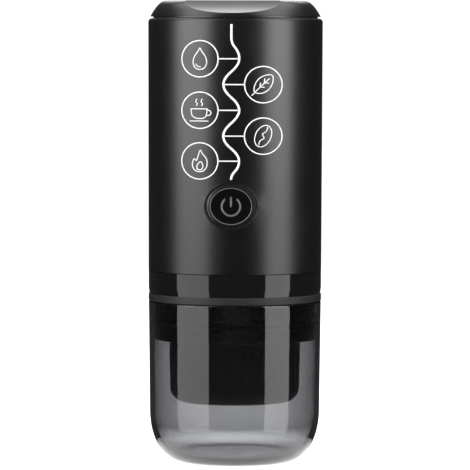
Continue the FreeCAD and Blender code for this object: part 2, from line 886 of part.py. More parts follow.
def make_power_button():
    """Button cap with a shallow dish, a retaining flange and a stem for the switch."""
    inner_width = button_half_width - trim_width
    inner_height = button_half_height - trim_width
    cap = oval(inner_width, inner_height, flange_reach, button_reach)
    cap = cap.fuse(oval(button_half_width, button_half_height, flange_reach, button_reach - trim_depth))
    flange = oval(button_half_width + button_flange, button_half_height + button_flange,
                  flange_reach - button_flange_thickness, flange_reach)
    stem = oval(stem_radius, stem_radius, stem_reach, flange_reach)
    dish_radius = inner_width ** 2 / (2 * button_dish)
    centre = FreeCAD.Vector(0, -(button_reach - button_dish + dish_radius), button_height)
    return cap.fuse([flange, stem]).cut(Part.makeSphere(dish_radius, centre))


def make_button_trim():
    """Thin bright ring round the button's face."""
    outer = oval(button_half_width, button_half_height, button_reach - trim_depth, button_reach)
    inner = oval(button_half_width - trim_width, button_half_height - trim_width,
                 button_reach - trim_depth, button_reach)
    return round_front(outer.cut(inner), button_reach, trim_edge_round)


def make_switch_plunger():
    """Plunger of the tact switch, against the button's stem."""
    return oval(plunger_radius, plunger_radius, stem_reach - plunger_length, stem_reach)


def make_switch_body():
    """Square tact switch on the control board."""
    half = switch_size / 2
    body = block(-half, half, -switch_reach, -board_reach, button_height - half, button_height + half)
    bore_radius = plunger_radius + plunger_bore_gap
    bore_back = stem_reach - plunger_length - button_travel - plunger_bore_gap
    return body.cut(oval(bore_radius, bore_radius, bore_back, switch_reach))


# ---------------------------------------------------------------- lid

def scoop_cutter(grow=0.0):
    """Cylinder along X that hollows one finger scoop in the front of the lid's shoulder."""
    lip = (lid_base_radius - lid_shoulder_lean * scoop_lip_height / lid_height,
           lid_z + scoop_lip_height)
    top = (lid_base_radius - scoop_depth_from_edge, lid_top_z)
    run = (top[0] - lip[0], top[1] - lip[1])
    chord = math.hypot(*run)
    rise = math.sqrt(scoop_radius ** 2 - (chord / 2) ** 2)
    centre_reach = (lip[0] + top[0]) / 2 + rise * run[1] / chord
    centre_z = (lip[1] + top[1]) / 2 - rise * run[0] / chord
    return rod_x(scoop_radius + grow, -lid_base_radius, lid_base_radius, -centre_reach, centre_z)


def make_lid_shell():
    """Low lid with a curved shoulder and finger scoops on opposite sides."""
    shoulder = ((lid_base_radius, lid_z), (lid_base_radius - lid_shoulder_lean, lid_top_z),
                (lid_base_radius - lid_shoulder_width, lid_top_z))
    outline = [curve_to(*shoulder, weight=1.0)]
    outline += lines(shoulder[2], (0, lid_top_z), (0, lid_z), shoulder[0])
    solid = revolve_edges(outline)
    rabbet_top = lid_z + liner_flange_thickness + liner_fit
    cavity = revolve((0, rabbet_top), (lid_cavity_radius, rabbet_top),
                     (lid_cavity_radius - lid_cavity_lean, lid_top_z - lid_top_wall),
                     (0, lid_top_z - lid_top_wall))
    angles = evenly(scoop_count)
    cavity = cavity.cut(at_angles(scoop_cutter(scoop_wall), angles))
    rabbet = cylinder(liner_flange_radius + liner_fit, lid_z, rabbet_top)
    return solid.cut([cavity, rabbet]).cut(at_angles(scoop_cutter(), angles))


def make_lid_liner():
    """Plug under the lid, with a groove for the seal."""
    outer = liner_radius
    inner = outer - liner_wall
    end_z = lid_z - liner_depth
    groove_z = end_z + seal_height_above_liner_end
    groove_top = groove_z + seal_groove_height
    groove_floor = outer - seal_groove_depth
    flange_z = lid_z + liner_fit / 2
    flange_top = flange_z + liner_flange_thickness
    return revolve(
        (0, end_z), (outer, end_z), (outer, groove_z), (groove_floor, groove_z),
        (groove_floor, groove_top), (outer, groove_top), (outer, flange_z),
        (liner_flange_radius, flange_z), (liner_flange_radius, flange_top), (inner, flange_top),
        (inner, end_z + liner_floor), (0, end_z + liner_floor))


def make_lid_seal():
    """Silicone ring in the liner's groove, with two small lips."""
    outer = mouth_radius - seal_mouth_gap
    inner = liner_radius - seal_groove_depth + seal_clearance
    low = lid_z - liner_depth + seal_height_above_liner_end + seal_clearance
    high = low + seal_groove_height - 2 * seal_clearance
    middle = (low + high) / 2
    lip = liner_mouth_gap - seal_mouth_gap
    return revolve((inner, low), (outer - lip, low), (outer, low + lip), (outer - lip, middle),
                   (outer, high - lip), (outer - lip, high), (inner, high))


# ---------------------------------------------------------------- tank and heater

def make_tank_collar():
    """Ring in the top of the body that the lid closes on and the tank hangs from."""
    lip_top = collar_z + collar_lip_thickness
    solid = revolve((collar_lip_radius, collar_z), (collar_radius, collar_z),
                    (collar_radius, collar_top_z), (mouth_radius + collar_mouth_chamfer, collar_top_z),
                    (mouth_radius, collar_top_z - collar_mouth_chamfer), (mouth_radius, lip_top),
                    (collar_lip_radius, lip_top))
    depth = collar_screw_length - upper_ring_thickness
    return solid.cut(holes(screw_radius, collar_z, collar_z + depth, collar_screw_circle,
                           collar_screw_angles))


def make_tank_gasket():
    """Flat gasket between the tank's flange and the collar."""
    return ring(tank_flange_radius, collar_lip_radius, tank_top_z, collar_z)


def make_water_tank():
    """Deep-drawn steel cup with a rolled-flat flange and a hole for the outlet."""
    outer = tank_outer_radius
    inner = tank_inner_radius
    inner_corner = tank_corner - tank_wall
    floor_z = tank_z + tank_wall
    outline = lines((0, tank_z), (outer - tank_corner, tank_z))
    outline.append(curve_to((outer - tank_corner, tank_z), (outer, tank_z), (outer, tank_z + tank_corner)))
    outline += lines((outer, tank_z + tank_corner), (outer, tank_flange_z),
                     (tank_flange_radius, tank_flange_z), (tank_flange_radius, tank_top_z),
                     (inner, tank_top_z), (inner, floor_z + inner_corner))
    outline.append(curve_to((inner, floor_z + inner_corner), (inner, floor_z),
                            (inner - inner_corner, floor_z)))
    outline += lines((inner - inner_corner, floor_z), (0, floor_z), (0, tank_z))
    hole = cylinder(hose_inner_radius + fitting_gap, tank_z, floor_z, outlet_x, mesh_y)
    return revolve_edges(outline).cut(hole)


def make_tank_sleeve():
    """Insulating sleeve round the tank."""
    return ring(sleeve_outer_radius, tank_outer_radius + sleeve_gap,
                tank_z + tank_corner + sleeve_margin, upper_ring_z - sleeve_margin)


def terminal_places():
    """X and Y of the heater's two terminals."""
    return [(side * terminal_spacing / 2, terminal_offset_y) for side in (-1, 1)]


def make_heater_plate():
    """Cast heater pressed against the tank's floor, with two terminals."""
    plate = cylinder(heater_radius, heater_z, tank_z)
    for x, y in terminal_places():
        plate = plate.fuse(cylinder(terminal_radius, mid_deck_z, heater_z, x, y))
    return plate.cut(cylinder(hose_inner_radius + fitting_gap, heater_z, tank_z, outlet_x, mesh_y))


def heater_openings(z_low, z_high):
    """Holes for the terminals, the thermal cut-out and the tank's nipple."""
    cutters = [cylinder(terminal_radius + terminal_hole_gap, z_low, z_high, x, y)
               for x, y in terminal_places()]
    cutters.append(cylinder(cutout_radius + cutout_gap, z_low, z_high))
    cutters.append(cylinder(hose_inner_radius + fitting_gap, z_low, z_high, outlet_x, mesh_y))
    return cutters


def make_heat_shield():
    """Insulating disc between the heater and the chassis."""
    disc = cylinder(heater_radius + shield_lap, mid_deck_top_z, heater_z)
    return disc.cut(heater_openings(mid_deck_top_z, heater_z))


def make_thermal_cutout():
    """Button thermostat under the middle of the heater, with two tags."""
    body = cylinder(cutout_radius, heater_z - cutout_height, heater_z)
    for side in (-1, 1):
        x = side * cutout_radius / 2
        top = heater_z - cutout_height
        body = body.fuse(block(x - tag_width / 2, x + tag_width / 2, -tag_thickness / 2,
                               tag_thickness / 2, top - tag_length, top))
    return body


def make_tank_outlet():
    """Flanged nipple through the tank's floor and the heater."""
    floor_z = tank_z + tank_wall
    low = mid_deck_z - tank_nipple_drop
    pipe = cylinder(hose_inner_radius, low, floor_z, outlet_x, mesh_y)
    head = cylinder(outlet_head_radius, floor_z, floor_z + outlet_head_thickness, outlet_x, mesh_y)
    bore = cylinder(fitting_bore, low, floor_z + outlet_head_thickness, outlet_x, mesh_y)
    return pipe.fuse(head).cut(bore)


def make_inlet_hose():
    """Silicone hose from the tank's nipple down to the pump's side."""
    start = (pump_radius + fitting_gap, mesh_y, inlet_z)
    corner = (outlet_x, mesh_y, inlet_z)
    end = (outlet_x, mesh_y, mid_deck_z - hose_end_gap)
    return tube_along((start, corner, end), hose_bend_radius, hose_radius, hose_inner_radius)


def make_outlet_hose():
    """Short straight hose from the pump's floor to the brew head."""
    low = brew_nipple_top_z() - nipple_length
    return ring(hose_radius, hose_inner_radius, low, pump_z - fitting_gap, brew_port_x, mesh_y)


# ---------------------------------------------------------------- chassis and battery

def make_chassis():
    """Frame of two decks, a top ring and four posts, with rails for the board and a cell cradle."""
    inner = chassis_radius - post_depth
    pieces = [
        cylinder(chassis_radius, lower_deck_z, lower_deck_top_z),
        cylinder(chassis_radius, mid_deck_z, mid_deck_top_z),
        ring(body_bore - upper_ring_wall_gap, upper_ring_bore, upper_ring_z, tank_flange_z),
    ]
    for angle in post_angles:
        pieces.append(sector(chassis_radius, inner, post_half_angle, lower_deck_top_z, mid_deck_z, angle))
        pieces.append(sector(chassis_radius, upper_ring_bore, post_half_angle, mid_deck_top_z,
                             upper_ring_z, angle))
    rail_front = -(board_reach - board_thickness)
    for side in (-1, 1):
        x_low, x_high = sorted((side * board_width / 2, side * (board_width / 2 - rail_width)))
        pieces.append(block(x_low, x_high, rail_front, rail_front + rail_depth,
                            lower_deck_top_z, mid_deck_z))
    cradle_z = (cell_z + cell_top_z) / 2
    cradle = cylinder(chassis_radius, cradle_z, cradle_z + cradle_height)
    room = block(-chassis_radius, chassis_radius, -chassis_radius, cradle_front_y,
                 cradle_z, cradle_z + cradle_height)
    pieces.append(cradle.cut(room).cut(holes(cell_radius + cradle_clearance, cradle_z,
                                             cradle_z + cradle_height, cell_circle_radius, cell_angles)))
    solid = pieces[0].fuse(pieces[1:])
    cutters = heater_openings(mid_deck_z, mid_deck_top_z)
    cutters.append(cylinder(hose_radius + hose_hole_gap, lower_deck_z, lower_deck_top_z,
                            brew_port_x, mesh_y))
    depth = chassis_screw_length - deck_thickness - chassis_gap
    cutters += holes(screw_radius, lower_deck_z, lower_deck_z + depth, chassis_screw_circle, post_angles)
    cutters += holes(screw_radius + screw_hole_gap, upper_ring_z, tank_flange_z,
                     collar_screw_circle, collar_screw_angles)
    for x, z in board_screw_places():
        depth = board_screw_length - board_thickness
        cutters.append(Part.makeCylinder(small_screw_radius, depth, FreeCAD.Vector(x, rail_front, z),
                                         FreeCAD.Vector(0, 1, 0)))
    return solid.cut(cutters).removeSplitter()


def make_battery_cell(angle):
    """Rechargeable cell with a raised positive cap."""
    x, y = polar(cell_circle_radius, angle)
    body = cylinder(cell_radius, cell_z, cell_top_z - cell_cap_height, x, y)
    return body.fuse(cylinder(cell_cap_radius, cell_top_z - cell_cap_height, cell_top_z, x, y))


def make_cell_tabs():
    """Nickel strips that join the cells, two spans below and two above."""
    places = [polar(cell_circle_radius, angle) for angle in cell_angles]
    strips = []
    for z in (lower_deck_top_z, cell_top_z):
        spans = []
        for (x0, y0), (x1, y1) in zip(places, places[1:]):
            length = math.hypot(x1 - x0, y1 - y0)
            strip = block(0, length, -tab_width / 2, tab_width / 2, z, z + tab_thickness)
            strip.rotate(ORIGIN, Z_AXIS, math.degrees(math.atan2(y1 - y0, x1 - x0)))
            strip.translate(FreeCAD.Vector(x0, y0, 0))
            spans.append(strip)
        strips.append(spans[0].fuse(spans[1:]).removeSplitter())
    return Part.makeCompound(strips)


# ---------------------------------------------------------------- control board

def board_screw_places():
    """X and Z of the four screws that hold the board to the rails."""
    x = board_width / 2 - rail_width / 2
    low = board_bottom_z + board_screw_inset
    high = board_bottom_z + board_height - board_screw_inset
    return [(side * x, z) for z in (low, high) for side in (-1, 1)]


def make_circuit_board():
    """Control board that stands behind the button."""
    half = board_width / 2
    board = block(-half, half, -board_reach, -board_reach + board_thickness,
                  board_bottom_z, board_bottom_z + board_height)
    cutters = [Part.makeCylinder(small_screw_radius + screw_hole_gap, board_thickness,
                                 FreeCAD.Vector(x, -board_reach, z), FreeCAD.Vector(0, 1, 0))
               for x, z in board_screw_places()]
    return board.cut(cutters)


def make_board_components():
    """Controller chip and choke above the switch, and two power transistors below it."""
    front = -board_reach
    chip_z = button_height + switch_size / 2 + component_margin
    parts = [block(-chip_size / 2, chip_size / 2, front - chip_thickness, front,
                   chip_z, chip_z + chip_size)]
    low = button_height - switch_size / 2 - component_margin - transistor_height
    for side in (-1, 1):
        x = side * transistor_spacing / 2
        parts.append(block(x - transistor_width / 2, x + transistor_width / 2,
                           front - transistor_thickness, front, low, low + transistor_height))
    choke_x = chip_size / 2 + component_margin / 2 + choke_radius
    choke = Part.makeCylinder(choke_radius, choke_thickness,
                              FreeCAD.Vector(choke_x, front, chip_z + chip_size / 2),
                              FreeCAD.Vector(0, -1, 0))
    parts.append(choke)
    return Part.makeCompound(parts)


def make_board_screws():
    """Four small screws that hold the board to the chassis rails."""
    screws = []
    for x, z in board_screw_places():
        seat = FreeCAD.Vector(x, -board_reach, z)
        shank = Part.makeCylinder(small_screw_radius, board_screw_length, seat, FreeCAD.Vector(0, 1, 0))
        head = Part.makeCylinder(small_head_radius, small_head_height, seat, FreeCAD.Vector(0, -1, 0))
        screws.append(shank.fuse(head))
    return Part.makeCompound(screws)


# ---------------------------------------------------------------- motor and gear pump

def make_motor_can():
    """Drawn steel can, open at the top, with a bearing hole in its floor."""
    shell = ring(motor_radius, motor_radius - motor_wall, motor_z, motor_top_z, 0, motor_y)
    floor = cylinder(motor_radius - motor_wall, motor_z, motor_z + motor_wall, 0, motor_y)
    bore = cylinder(shaft_radius + running_clearance, motor_z, motor_z + motor_wall, 0, motor_y)
    return shell.fuse(floor).cut(bore).removeSplitter()


def make_motor_end_cap():
    """Moulded cap that closes the can and carries the upper bearing."""
    low = motor_top_z - motor_cap_thickness
    cap = cylinder(motor_radius - motor_wall, low, motor_top_z, 0, motor_y)
    boss = cylinder(motor_boss_radius, motor_top_z, motor_top_z + motor_boss_height, 0, motor_y)
    bore = cylinder(shaft_radius + running_clearance, low, motor_top_z + motor_boss_height, 0, motor_y)
    return cap.fuse(boss).cut(bore)


def make_motor_magnets():
    """Two arc magnets on the can's wall."""
    outer = motor_radius - motor_wall
    low = motor_z + armature_margin
    high = motor_top_z - armature_margin - motor_cap_thickness
    arcs = []
    for angle in (0.0, 180.0):
        arc = sector(outer, outer - magnet_thickness, magnet_half_angle, low, high, angle)
        arc.translate(FreeCAD.Vector(0, motor_y, 0))
        arcs.append(arc)
    return Part.makeCompound(arcs)


def make_motor_rotor():
    """Motor shaft with a three-pole armature and a commutator."""
    low = motor_z + armature_margin
    high = motor_top_z - armature_margin - motor_cap_thickness
    radius = motor_radius - motor_wall - magnet_thickness - magnet_air_gap
    core = cylinder(radius, low, high, 0, motor_y)
    slots = []
    for angle in evenly(3):
        slot = block(radius / 2, motor_radius, -armature_slot / 2, armature_slot / 2, low, high)
        slot = turned(slot, angle + 90.0)
        slot.translate(FreeCAD.Vector(0, motor_y, 0))
        slots.append(slot)
    shaft = cylinder(shaft_radius, pump_z + pump_floor - pin_bite, rotor_top_z(), 0, motor_y)
    commutator = cylinder(commutator_radius, high, high + commutator_length, 0, motor_y)
    return core.cut(slots).fuse([shaft, commutator]).removeSplitter()


def rotor_top_z():
    """Top of the shaft, a little proud of the upper bearing."""
    return motor_top_z + motor_boss_height + shaft_top_stub


def gear_blank(phase, x, y):
    """Spur gear with involute flanks, turned by phase degrees, on an upright axis."""
    base = pitch_radius * math.cos(math.radians(gear_pressure_angle))
    root = pitch_radius - gear_module - gear_root_clearance
    pressure = math.radians(gear_pressure_angle)
    half_tooth = math.pi / (2 * gear_teeth) + math.tan(pressure) - pressure
    half_tooth -= gear_backlash / (2 * pitch_radius)
    pitch = 2 * math.pi / gear_teeth

    def flank_angle(radius):
        opening = math.acos(min(1.0, base / radius))
        return half_tooth - (math.tan(opening) - opening)

    def spot(radius, angle):
        return FreeCAD.Vector(radius * math.cos(angle), radius * math.sin(angle), 0)

    radii = [base + (gear_tip_radius - base) * i / 3 for i in range(4)]
    edges = []
    for tooth in range(gear_teeth):
        middle = tooth * pitch + math.radians(phase)
        rising = [spot(r, middle - flank_angle(r)) for r in radii]
        falling = [spot(r, middle + flank_angle(r)) for r in reversed(radii)]
        foot_in = spot(root, middle - half_tooth)
        foot_out = spot(root, middle + half_tooth)
        next_foot = spot(root, middle + pitch - half_tooth)
        for points in (rising, falling):
            flank = Part.BSplineCurve()
            flank.interpolate(points)
            edges.append(flank.toShape())
        tip = Part.Arc(rising[-1], spot(gear_tip_radius, middle), falling[0])
        valley = Part.Arc(foot_out, spot(root, middle + pitch / 2), next_foot)
        edges += [Part.makeLine(foot_in, rising[0]), Part.makeLine(falling[-1], foot_out)]
        edges += [tip.toShape(), valley.toShape()]
    face = Part.Face(Part.Wire(Part.__sortEdges__(edges)))
    gear = face.extrude(FreeCAD.Vector(0, 0, gear_width))
    gear.translate(FreeCAD.Vector(x, y, gear_z + gear_side_gap))
    return gear


def make_drive_gear():
    """Pump gear pressed on the motor's shaft; one tooth points at the idler."""
    bore = cylinder(shaft_radius, gear_z, pump_case_top_z, 0, motor_y)
    return gear_blank(90.0, 0, motor_y).cut(bore)


def make_idler_gear():
    """Second pump gear, free on its pin; a gap points at the drive gear."""
    bore = cylinder(shaft_radius + running_clearance, gear_z, pump_case_top_z, 0, idler_y)
    return gear_blank(-90.0 + 180.0 / gear_teeth, 0, idler_y).cut(bore)


def make_idler_pin():
    """Fixed pin that carries the idler gear."""
    return cylinder(shaft_radius, gear_z - pin_bite, pump_case_top_z + pin_bite, 0, idler_y)


def make_pump_case():
    """Gear housing with a figure-of-eight cavity, an inlet on its side and an outlet below."""
    case = stadium(pump_radius, pump_z, pump_case_top_z)
    inlet_end = outlet_x - hose_bend_radius
    case = case.fuse([
        rod_x(hose_inner_radius, 0, inlet_end, mesh_y, inlet_z),
        cylinder(hose_inner_radius, pump_z - nipple_length, pump_z, brew_port_x, mesh_y),
    ])
    cutters = [cylinder(gear_cavity_radius, gear_z, pump_case_top_z, 0, y) for y in (motor_y, idler_y)]
    cutters.append(rod_x(fitting_bore, 0, inlet_end, mesh_y, inlet_z))
    cutters.append(cylinder(port_radius, gear_z, inlet_z, brew_port_x, mesh_y))
    cutters.append(cylinder(fitting_bore, pump_z - nipple_length, gear_z, brew_port_x, mesh_y))
    cutters.append(cylinder(shaft_radius + running_clearance, gear_z - pin_bite - gear_side_gap,
                            gear_z, 0, motor_y))
    cutters.append(cylinder(shaft_radius, gear_z - pin_bite, gear_z, 0, idler_y))
    cutters += [cylinder(small_screw_radius + screw_hole_gap, pump_z, pump_case_top_z, x, y)
                for x, y in pump_screw_places()]
    return case.cut(cutters)


def pump_screw_places():
    """X and Y of the four screws through the pump's case."""
    places = []
    for y, angles in ((motor_y, motor_side_screw_angles), (idler_y, idler_side_screw_angles)):
        for angle in angles:
            dx, dy = polar(pump_screw_circle, angle)
            places.append((dx, y + dy))
    return places


def make_pump_cover():
    """Plate that closes the gear case and carries the motor."""
    plate = stadium(pump_radius, pump_case_top_z, motor_z)
    cutters = [cylinder(shaft_radius + running_clearance, pump_case_top_z, motor_z, 0, motor_y),
               cylinder(shaft_radius, pump_case_top_z, pump_case_top_z + pin_bite, 0, idler_y)]
    depth = pump_screw_length - (pump_case_top_z - pump_z)
    cutters += [cylinder(small_screw_radius, pump_case_top_z, pump_case_top_z + depth, x, y)
                for x, y in pump_screw_places()]
    return plate.cut(cutters)


def make_pump_screws():
    """Four small screws up through the pump's case into its cover."""
    return Part.makeCompound([
        screw(x, y, pump_z, pump_screw_length, small_screw_radius, small_head_radius,
              small_head_height)
        for x, y in pump_screw_places()])


def make_pump_mounts():
    """Three rubber pads between the pump and the chassis."""
    side = pump_radius - pad_radius - pad_edge_gap
    places = ((side, motor_y - pad_offset), (-side, motor_y - pad_offset), (0.0, idler_y + side))
    return Part.makeCompound([cylinder(pad_radius, lower_deck_top_z, pump_z, x, y) for x, y in places])


# ---------------------------------------------------------------- charging socket

def socket_mouth_x():
    """Distance of the socket's mouth from the axis, just behind the curved cover."""
    cover_inside = band_radius - cover_flush - cover_thickness
    return math.sqrt(cover_inside ** 2 - socket_half_width ** 2) - socket_cover_gap


def make_charge_socket():
    """Oval charging socket with its contact tongue."""
    outer_x = socket_mouth_x()
    inner_x = outer_x - socket_length
    shell = capsule_x(socket_half_width, socket_half_height, inner_x, outer_x, port_z)
    hollow = capsule_x(socket_half_width - socket_wall, socket_half_height - socket_wall,
                       inner_x + socket_back, outer_x, port_z)
    tongue = block(inner_x + socket_back / 2, outer_x - tongue_set_back, -tongue_half_width,
                   tongue_half_width,
                   port_z - tongue_thickness / 2, port_z + tongue_thickness / 2)
    return turned(shell.cut(hollow).fuse(tongue).removeSplitter(), port_angle)


def make_charge_board():
    """Small board under the charging socket."""
    outer_x = chassis_radius - charge_board_edge_gap
    board = block(outer_x - charge_board_length, outer_x, -charge_board_half_width,
                  charge_board_half_width, lower_deck_top_z, lower_deck_top_z + charge_board_thickness)
    return turned(board, port_angle)


def make_port_cover():
    """Soft cover, flush with the band, with a hinge bead at one end and a plug for the socket."""
    outer = band_radius - cover_flush
    inner = outer - cover_thickness
    low = port_z - cover_half_height
    high = port_z + cover_half_height
    bead_x, bead_y = bead_place()
    shape = block(0, outer + cover_thickness, -cover_half_width, bead_y, low, high)
    plate = ring(outer, inner, low, high).common(shape)
    bead = cylinder(bead_radius, low, high, bead_x, bead_y)
    plug = capsule_x(cover_plug_half_width, cover_plug_half_height,
                     inner - cover_plug_length, inner + cover_thickness / 2, port_z)
    return turned(plate.fuse([bead, plug]), port_angle)


# ---------------------------------------------------------------- larger screws

def make_chassis_screws():
    """Four screws up through the base deck into the chassis posts."""
    return Part.makeCompound([
        screw(*polar(chassis_screw_circle, angle), deck_z, chassis_screw_length, screw_radius,
              screw_head_radius, screw_head_height)
        for angle in post_angles])


def make_head_screws():
    """Four screws up through the brew head's flange into the base deck."""
    seat = deck_z - head_flange_thickness
    return Part.makeCompound([
        screw(*polar(head_screw_circle, angle), seat, head_screw_length, screw_radius,
              screw_head_radius, screw_head_height)
        for angle in head_screw_angles])


def make_collar_screws():
    """Four screws up through the chassis ring into the tank's collar."""
    return Part.makeCompound([
        screw(*polar(collar_screw_circle, angle), upper_ring_z, collar_screw_length, screw_radius,
              screw_head_radius, screw_head_height)
        for angle in collar_screw_angles])


# ---------------------------------------------------------------- export

PIECES = {
    "cup": make_cup,
    "seat_ring": make_seat_ring,
    "cup_oring": make_cup_oring,
    "base_collar": make_base_collar,
    "brew_head": make_brew_head,
    "head_gasket": make_head_gasket,
    "shower_screen": make_shower_screen,
    "shower_screw": make_shower_screw,
    "filter_basket": make_filter_basket,
    "capsule_holder": make_capsule_holder,
    "body_shell": make_body_shell,
    "button_bezel": make_button_bezel,
    "power_button": make_power_button,
    "button_trim": make_button_trim,
    "switch_plunger": make_switch_plunger,
    "switch_body": make_switch_body,
    "lid_shell": make_lid_shell,
    "lid_liner": make_lid_liner,
    "lid_seal": make_lid_seal,
    "tank_collar": make_tank_collar,
    "tank_gasket": make_tank_gasket,
    "water_tank": make_water_tank,
    "tank_sleeve": make_tank_sleeve,
    "heater_plate": make_heater_plate,
    "heat_shield": make_heat_shield,
    "thermal_cutout": make_thermal_cutout,
    "tank_outlet": make_tank_outlet,
    "inlet_hose": make_inlet_hose,
    "outlet_hose": make_outlet_hose,
    "chassis": make_chassis,
    "cell_tabs": make_cell_tabs,
    "circuit_board": make_circuit_board,
    "board_components": make_board_components,
    "board_screws": make_board_screws,
    "motor_can": make_motor_can,
    "motor_end_cap": make_motor_end_cap,
    "motor_magnets": make_motor_magnets,
    "motor_rotor": make_motor_rotor,
    "drive_gear": make_drive_gear,
    "idler_gear": make_idler_gear,
    "idler_pin": make_idler_pin,
    "pump_case": make_pump_case,
    "pump_cover": make_pump_cover,
    "pump_screws": make_pump_screws,
    "pump_mounts": make_pump_mounts,
    "charge_socket": make_charge_socket,
    "charge_board": make_charge_board,
    "port_cover": make_port_cover,
    "chassis_screws": make_chassis_screws,
    "head_screws": make_head_screws,
    "collar_screws": make_collar_screws,
}


def main():
    """Builds every piece and writes one STEP file for each."""
    os.makedirs("parts", exist_ok=True)
    shapes = {name: make() for name, make in PIECES.items()}
    for number, angle in enumerate(cell_angles, start=1):
        shapes[f"battery_cell_{number}"] = make_battery_cell(angle)
    for name, shape in shapes.items():
        shape.exportStep(f"parts/{name}.step")


main()
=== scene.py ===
"""Portable espresso maker: finishes, printed marks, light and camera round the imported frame."""
import logging
import math
from dataclasses import dataclass, field
from enum import Enum
from typing import Any, ClassVar, Iterable

import bpy
from mathutils import Matrix, Vector


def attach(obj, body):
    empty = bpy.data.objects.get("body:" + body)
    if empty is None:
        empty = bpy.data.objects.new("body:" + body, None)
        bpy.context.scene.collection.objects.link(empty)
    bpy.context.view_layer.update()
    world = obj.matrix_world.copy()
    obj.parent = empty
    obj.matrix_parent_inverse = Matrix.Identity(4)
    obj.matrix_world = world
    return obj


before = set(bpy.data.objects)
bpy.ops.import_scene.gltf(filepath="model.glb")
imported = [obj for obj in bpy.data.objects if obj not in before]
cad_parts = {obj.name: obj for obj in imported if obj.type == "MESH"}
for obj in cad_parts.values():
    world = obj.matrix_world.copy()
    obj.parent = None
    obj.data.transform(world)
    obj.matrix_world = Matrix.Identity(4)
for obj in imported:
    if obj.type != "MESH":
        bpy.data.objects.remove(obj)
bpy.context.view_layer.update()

MM = 0.001
IMAGE_SIDE = 470
SENSOR_MM = 36.0
FULL_TURN = 360.0
UPRIGHT = 90.0
WHITE = (1.0, 1.0, 1.0, 1.0)
# The sRGB curve is straight below its knee and a power above it.
SRGB_KNEE, SRGB_SLOPE, SRGB_OFFSET, SRGB_POWER = 0.04045, 12.92, 0.055, 2.4

logging.basicConfig(level=logging.INFO, format="%(message)s")
log = logging.getLogger("espresso_maker")


# ---------------------------------------------------------------- colours and nodes


def linear(code: str) -> tuple[float, float, float, float]:
    """Turns an sRGB hex colour into linear light.

    Args:
        code: Six hex digits, such as "1a1a1b".

    Returns:
        Red, green, blue and an alpha of 1.
    """
    values = [int(code[i:i + 2], 16) / 255 for i in (0, 2, 4)]
    red, green, blue = (v / SRGB_SLOPE if v <= SRGB_KNEE
                        else ((v + SRGB_OFFSET) / (1 + SRGB_OFFSET)) ** SRGB_POWER
                        for v in values)
    return red, green, blue, 1.0


def cleared_tree(owner: bpy.types.Material | bpy.types.World) -> bpy.types.NodeTree:
    """Gives a material or a world an empty node tree.

    Args:
        owner: The material or the world.

    Returns:
        Its node tree.
    """
    owner.use_nodes = True
    owner.node_tree.nodes.clear()
    return owner.node_tree


def add_node(tree: bpy.types.NodeTree, kind: str, values: dict[Any, Any] | None = None,
             links: dict[Any, bpy.types.NodeSocket] | None = None,
             **settings: Any) -> bpy.types.Node:
    """Adds one shader node.

    Args:
        tree: The node tree that takes it.
        kind: The node's type, such as "ShaderNodeMath".
        values: Constants by input name or number.
        links: Sockets that feed inputs, by input name or number.
        **settings: The node's own options, such as operation="ADD".

    Returns:
        The new node.
    """
    node = tree.nodes.new(kind)
    for name, value in settings.items():
        setattr(node, name, value)
    for name, value in (values or {}).items():
        node.inputs[name].default_value = value
    for name, socket in (links or {}).items():
        tree.links.new(socket, node.inputs[name])
    return node


class Grain(Enum):
    """How a surface was worked: the stretch of its fine relief along X, Y and Z."""

    EVEN = (1.0, 1.0, 1.0)
    BRUSHED = (1.0, 1.0, 14.0)


@dataclass(frozen=True)
class Finish:
    """What a piece is made of, and how it was finished."""

    name: str

    def material(self) -> bpy.types.Material:
        """Builds the material once, and gives the same one afterwards.

        Returns:
            The material.
        """
        made = bpy.data.materials.get(self.name)
        if made is None:
            made = bpy.data.materials.new(self.name)
            self.fill(cleared_tree(made))
        return made

    def fill(self, tree: bpy.types.NodeTree) -> None:
        """Adds the material's nodes.

        Args:
            tree: The material's empty node tree.
        """
        raise NotImplementedError


